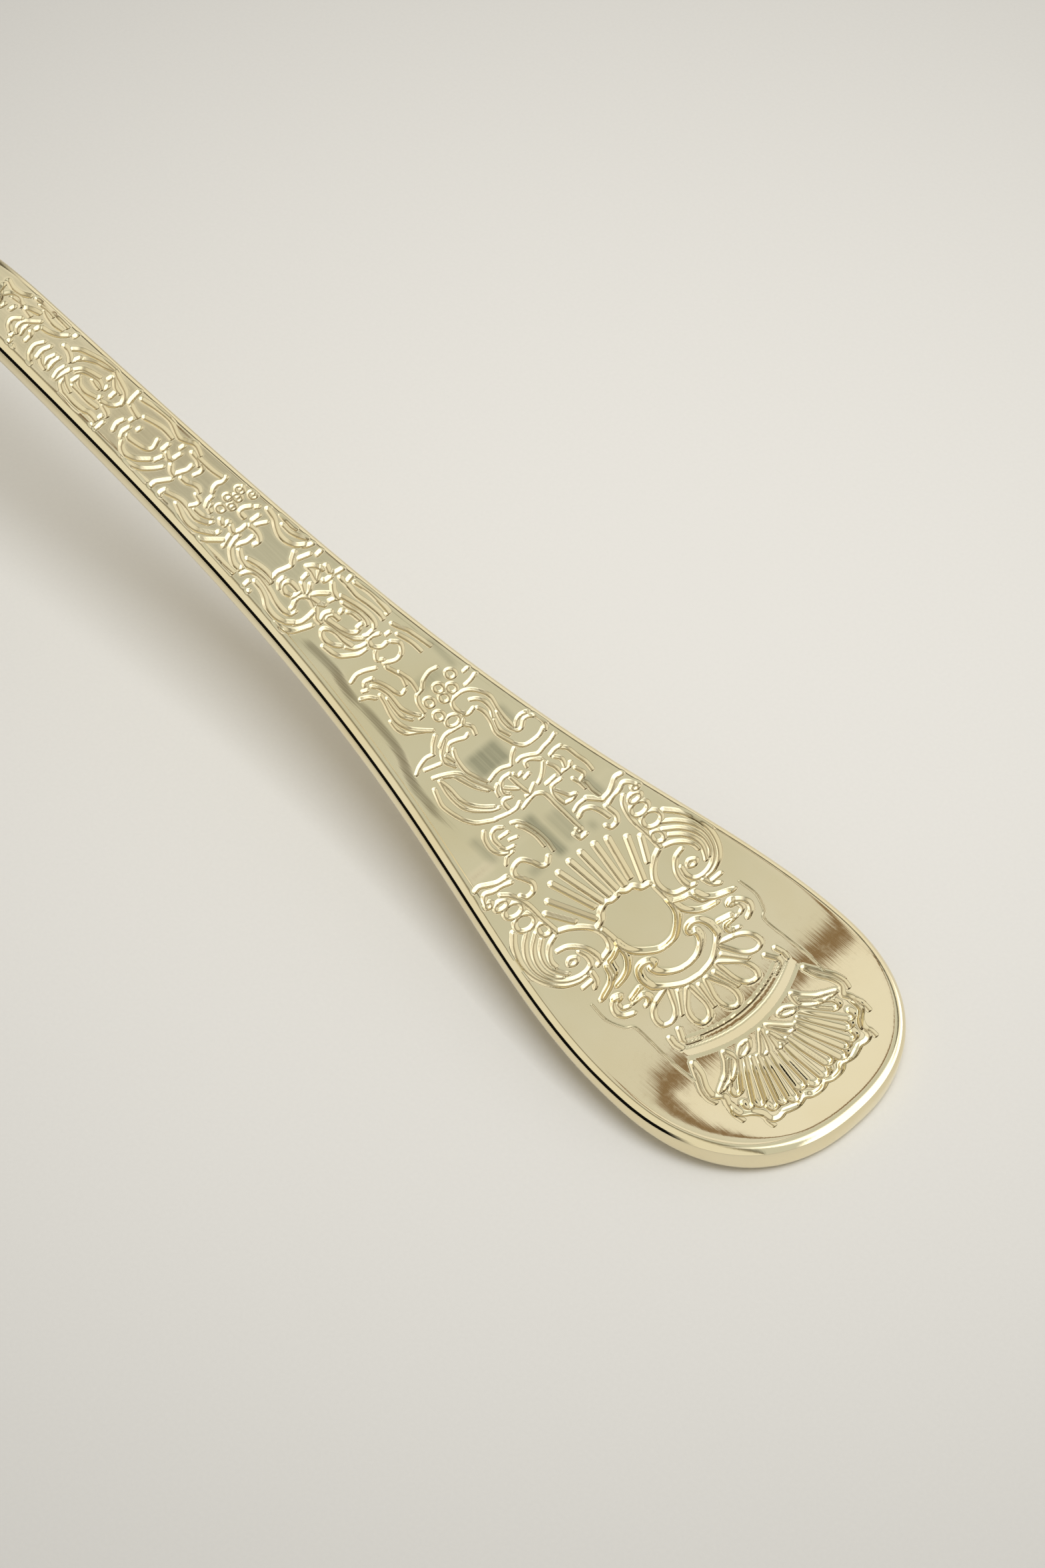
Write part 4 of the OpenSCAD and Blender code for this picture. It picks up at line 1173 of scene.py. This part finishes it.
buffed_stem = gilt("gilt, buffed along the stem", (0.12, 4.0, 0.12), 0.04, 0.006)
buffed_blade = gilt("gilt, buffed along", (0.12, 4.0, 4.0), 0.08, 0.01)
filed_pin = gilt("gilt, filed flush", (6.0, 6.0, 6.0), 0.12, 0.01)
flowed = gilt("gilt filler", (2.0, 2.0, 2.0), 0.2, 0.03)
print("finishes:", [material.name for material in bpy.data.materials])

# %% Dress each piece
pieces = [(handle, buffed_stem, "handle"), (blade, buffed_blade, "blade"), (braze, flowed, "braze_seam"),
          *[(pin, filed_pin, name) for name, pin in pins.items()]]
for piece, finish, node in pieces:
    piece.data.materials.append(finish)
    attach(piece, "root")
    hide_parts(node)
print("dressed:", {piece.name: node for piece, _, node in pieces})

# %% [markdown]
# ## Table
# The server lies on a plain pale sheet, lightest near the handle's end. A lamp close by could give that
# falloff. Painting it into the sheet leaves the lamp free to place the shadow.

# %% Pale sheet
TABLE_COLOUR, TABLE_DIM = (0.94, 0.94, 0.92, 1), (0.52, 0.52, 0.505, 1)
TABLE_MIDDLE, TABLE_SPAN, TABLE_HALF = (0.077, 0.038, 0), 0.166, 3.0
DIM_MOST, DIM_SOFT, GRAIN, GRAIN_PER_M = 0.65, 0.3, 0.08, 2600.0


def paper(name):
    """Pale paper with a faint grain, and a painted falloff of light that is lightest near the handle's end.
    """
    material, at = new_material(name)
    grain = at.noise(GRAIN_PER_M, 2.0)
    gap = at.make("ShaderNodeVectorMath", {"operation": "DISTANCE"}, {0: at, 1: TABLE_MIDDLE}, "Value")
    dim = ((gap / TABLE_SPAN) ** 2).math("SMOOTH_MIN", DIM_MOST, DIM_SOFT) + (grain - 0.5) * GRAIN
    at.show({"Base Color": dim.blend(TABLE_COLOUR, TABLE_DIM), "Roughness": 1.0, "Specular IOR Level": 0.0})
    return material


corners = [(a * TABLE_HALF, b * TABLE_HALF, 0) for a, b in ((-1, -1), (1, -1), (1, 1), (-1, 1))]
sheet = bpy.data.meshes.new("table")
sheet.from_pydata(corners, [], [(0, 1, 2, 3)])
sheet.materials.append(paper("pale paper"))
table = bpy.data.objects.new("table", sheet)
bpy.context.collection.objects.link(table)
print("table:", 2 * TABLE_HALF, "m wide")

# %% [markdown]
# ## What the metal mirrors
# Polished gold has little colour pattern of its own: nearly all that is seen on it is the room. Cards and
# lamps could stand round the table, but each would light the table too. So the room is drawn as a shader
# on the world, by direction, and only mirror rays see it. A direction is read in two ways: as a place on
# the ceiling, and as how far it points ahead of the camera and aside from it.

# %% Directions in the room
VIEW_AZIMUTH, VIEW_ELEVATION = 44.04, 50.37
azimuth, elevation = math.radians(VIEW_AZIMUTH), math.radians(VIEW_ELEVATION)
right = Vector((math.cos(azimuth), math.sin(azimuth), 0))
away = Vector((-math.sin(azimuth), math.cos(azimuth), 0))
back = -away * math.cos(elevation) + Vector((0, 0, math.sin(elevation)))
LEAST_HEIGHT, SEAM_SLANT, SEAM_AT = 0.03, 0.5, 0.05
world = bpy.data.worlds.new("room")
bpy.context.scene.world = world
world.use_nodes = True
world.node_tree.nodes.clear()
sky = Wire(world.node_tree)
way = sky.make("ShaderNodeTexCoord", output="Generated")
x, y, z = [sky.make("ShaderNodeSeparateXYZ", None, {0: way}, axis) for axis in range(3)]
over = z.math("MAXIMUM", LEAST_HEIGHT)
px, py = x / over, y / over
ahead, aside = x * away.x + y * away.y, x * right.x + y * right.y
seam = py + px * SEAM_SLANT + SEAM_AT
print("the camera looks along", [round(v, 3) for v in -back])

# %% Ceiling: window, batten and seam
ROOM, SIDE_COLOUR = (0.61, 0.57, 0.465, 1), (0.92, 0.90, 0.85, 1)
WINDOW, WINDOW_EDGE = (0.67, 0.685, 0.635, 1), (0.775, 0.77, 0.735, 1)
BATTEN, SEAM, DARK_WALL = (0.24, 0.15, 0.07, 1), (0.16, 0.15, 0.12, 1), (0.17, 0.165, 0.135, 1)
LOW_PALE, SEAM_SHARE = (0.88, 0.86, 0.78, 1), 0.75
BATTEN_PX, BATTEN_SOFT, DARK_PX, DARK_SOFT = -0.178, 0.005, -0.85, 0.06
ABOVE_EDGE, WINDOW_FADE, SEAM_FADE, LOW_FADE = (-0.02, 0.04), (-0.18, -0.04), (0.0, 0.2), (-0.32, -0.1)
BATTEN_FADE, BATTEN_START = (0.005, 0.012), (0.0, 0.1)
above = seam.between(*ABOVE_EDGE)
light = above.blend(ROOM, px.between(*WINDOW_FADE).blend(WINDOW_EDGE, WINDOW))
past_batten = above * (1 - px.between(BATTEN_PX - BATTEN_SOFT, BATTEN_PX + BATTEN_SOFT))
on_batten = (1 - (px - BATTEN_PX).math("ABSOLUTE").between(*BATTEN_FADE)) * seam.between(*BATTEN_START)
past_wall = above * (1 - px.between(DARK_PX - DARK_SOFT, DARK_PX + DARK_SOFT))
on_seam = (1 - seam.math("ABSOLUTE").between(*SEAM_FADE)) * SEAM_SHARE
ceiling = [(past_batten, SIDE_COLOUR), (on_batten, BATTEN), (past_wall, DARK_WALL), (on_seam, SEAM),
           (1 - seam.between(*LOW_FADE), LOW_PALE)]
for zone, colour in ceiling:
    light = zone.blend(light, colour)
print("ceiling:", len(ceiling) + 1, "zones")

# %% Walls and lamps, by where each zone starts and where it is full
FAR_DARK, BLACK = (0.10, 0.07, 0.04, 1), (0.004, 0.004, 0.004, 1)
PALE, BRIGHT = (0.95, 0.92, 0.84, 1), (1.9, 1.9, 1.9, 1)
FAR_AHEAD, FAR_LEFT, FAR_LEFT_Y, FAR_LEFT_Z = (0.1, 0.4), (0.0, 0.25), (-0.32, -0.12), (0.35, 0.6)
FAR_RIGHT, DARK_Z, PALE_Z = (0.1, 0.3), (0.66, 0.76), (0.5, 0.62)
LAMP_PX, LAMP_AHEAD, LAMP_Z = (0.25, 0.62), (-0.55, -0.35), (0.42, 0.56)
LOW_LAMP, LOW_LAMP_Z = (0.65, 0.8), (0.3, 0.45)
GLEAM, GLEAM_Z, GLEAM_AHEAD = (0.62, 0.76), (0.62, 0.78), (0.1, 0.3)
BLACK_LEFT, BLACK_Z, BLACK_Y = (0.35, 0.6), (0.42, 0.5), (0.45, 0.58)
far = ahead.between(*FAR_AHEAD)
far_left = far * (1 - aside.between(*FAR_LEFT)) * y.between(*FAR_LEFT_Y) * (1 - z.between(*FAR_LEFT_Z))
far_right = far * aside.between(*FAR_RIGHT)
lamp = px.between(*LAMP_PX) * ahead.between(*LAMP_AHEAD) * z.between(*LAMP_Z)
low_lamp = aside.between(*LOW_LAMP) * (1 - z.between(*LOW_LAMP_Z))
gleam = aside.between(*GLEAM) * (1 - z.between(*GLEAM_Z)) * (1 - ahead.between(*GLEAM_AHEAD))
low_left = (0 - aside).between(*BLACK_LEFT) * (1 - z.between(*BLACK_Z)) * (0 - y).between(*BLACK_Y)
walls = [(far_left, FAR_DARK), (far_right * (1 - z.between(*DARK_Z)), DARK_WALL),
         (far_right * (1 - z.between(*PALE_Z)), PALE), (lamp, BRIGHT), (low_lamp, BRIGHT), (gleam, BRIGHT),
         (low_left, BLACK)]
for zone, colour in walls:
    light = zone.blend(light, colour)
print("walls and lamps:", len(walls), "zones")

# %% [markdown]
# ## Light on the table
# The table and the soft shadow need plain light: an even dome, and one overhead softbox that the gold
# doesn't mirror. The world gives mirror rays the room and all other rays the dome.

# %% Dome and softbox
DOME = (0.488, 0.448, 0.38, 1)
BOX_WAY, BOX_FAR, BOX_SIDE = Vector((0.30, -0.08, 0.95)), 1.5, 0.8
BOX_RADIANCE, BOX_COLOUR = 4.6, (1.0, 1.03, 1.08)
mirrored = sky.make("ShaderNodeLightPath", output="Is Glossy Ray")
backdrop = sky.make("ShaderNodeBackground", None, {"Color": mirrored.blend(DOME, light)})
sky.make("ShaderNodeOutputWorld", None, {"Surface": backdrop})
lamp_data = bpy.data.lights.new("overhead softbox", "AREA")
lamp_data.size = BOX_SIDE
lamp_data.energy, lamp_data.color = BOX_RADIANCE * math.pi * BOX_SIDE**2, BOX_COLOUR
softbox = bpy.data.objects.new("overhead softbox", lamp_data)
softbox.location = BOX_WAY.normalized() * BOX_FAR
softbox.rotation_euler = BOX_WAY.to_track_quat("Z", "Y").to_euler()
softbox.visible_glossy = False
bpy.context.collection.objects.link(softbox)
print("softbox:", round(lamp_data.energy, 2), "W")

# %% [markdown]
# ## Camera
# The photo looks down on the handle's end with a long lens, so that the stem runs off the left edge of the
# frame. The camera aims past a point on the disc: so far to the right of it, up from it and away from it,
# in millimetres.

# %% Camera and colour
LENS, CLIP_START, CLIP_END = 99.12, 0.01, 20
AIM_S, AIM_Y, AIM_RIGHT, AIM_UP, AIM_FAR = 27.0, 0.25, -11.76, 12.91, 400.57
camera = bpy.data.objects.new("camera", bpy.data.cameras.new("camera"))
bpy.context.collection.objects.link(camera)
aim = Vector(place(AIM_S, AIM_Y, handle_thick(np.array(AIM_S)) / 2))
camera.location = aim + (AIM_RIGHT * right + AIM_UP * back.cross(right) + AIM_FAR * back) * MM
camera.rotation_euler = back.to_track_quat("Z", "Y").to_euler()
camera.data.lens, camera.data.clip_start, camera.data.clip_end = LENS, CLIP_START, CLIP_END
bpy.context.scene.camera = camera
bpy.context.scene.view_settings.view_transform = "Standard"
print("camera at", [round(v, 3) for v in camera.location], "m")

# %% [markdown]
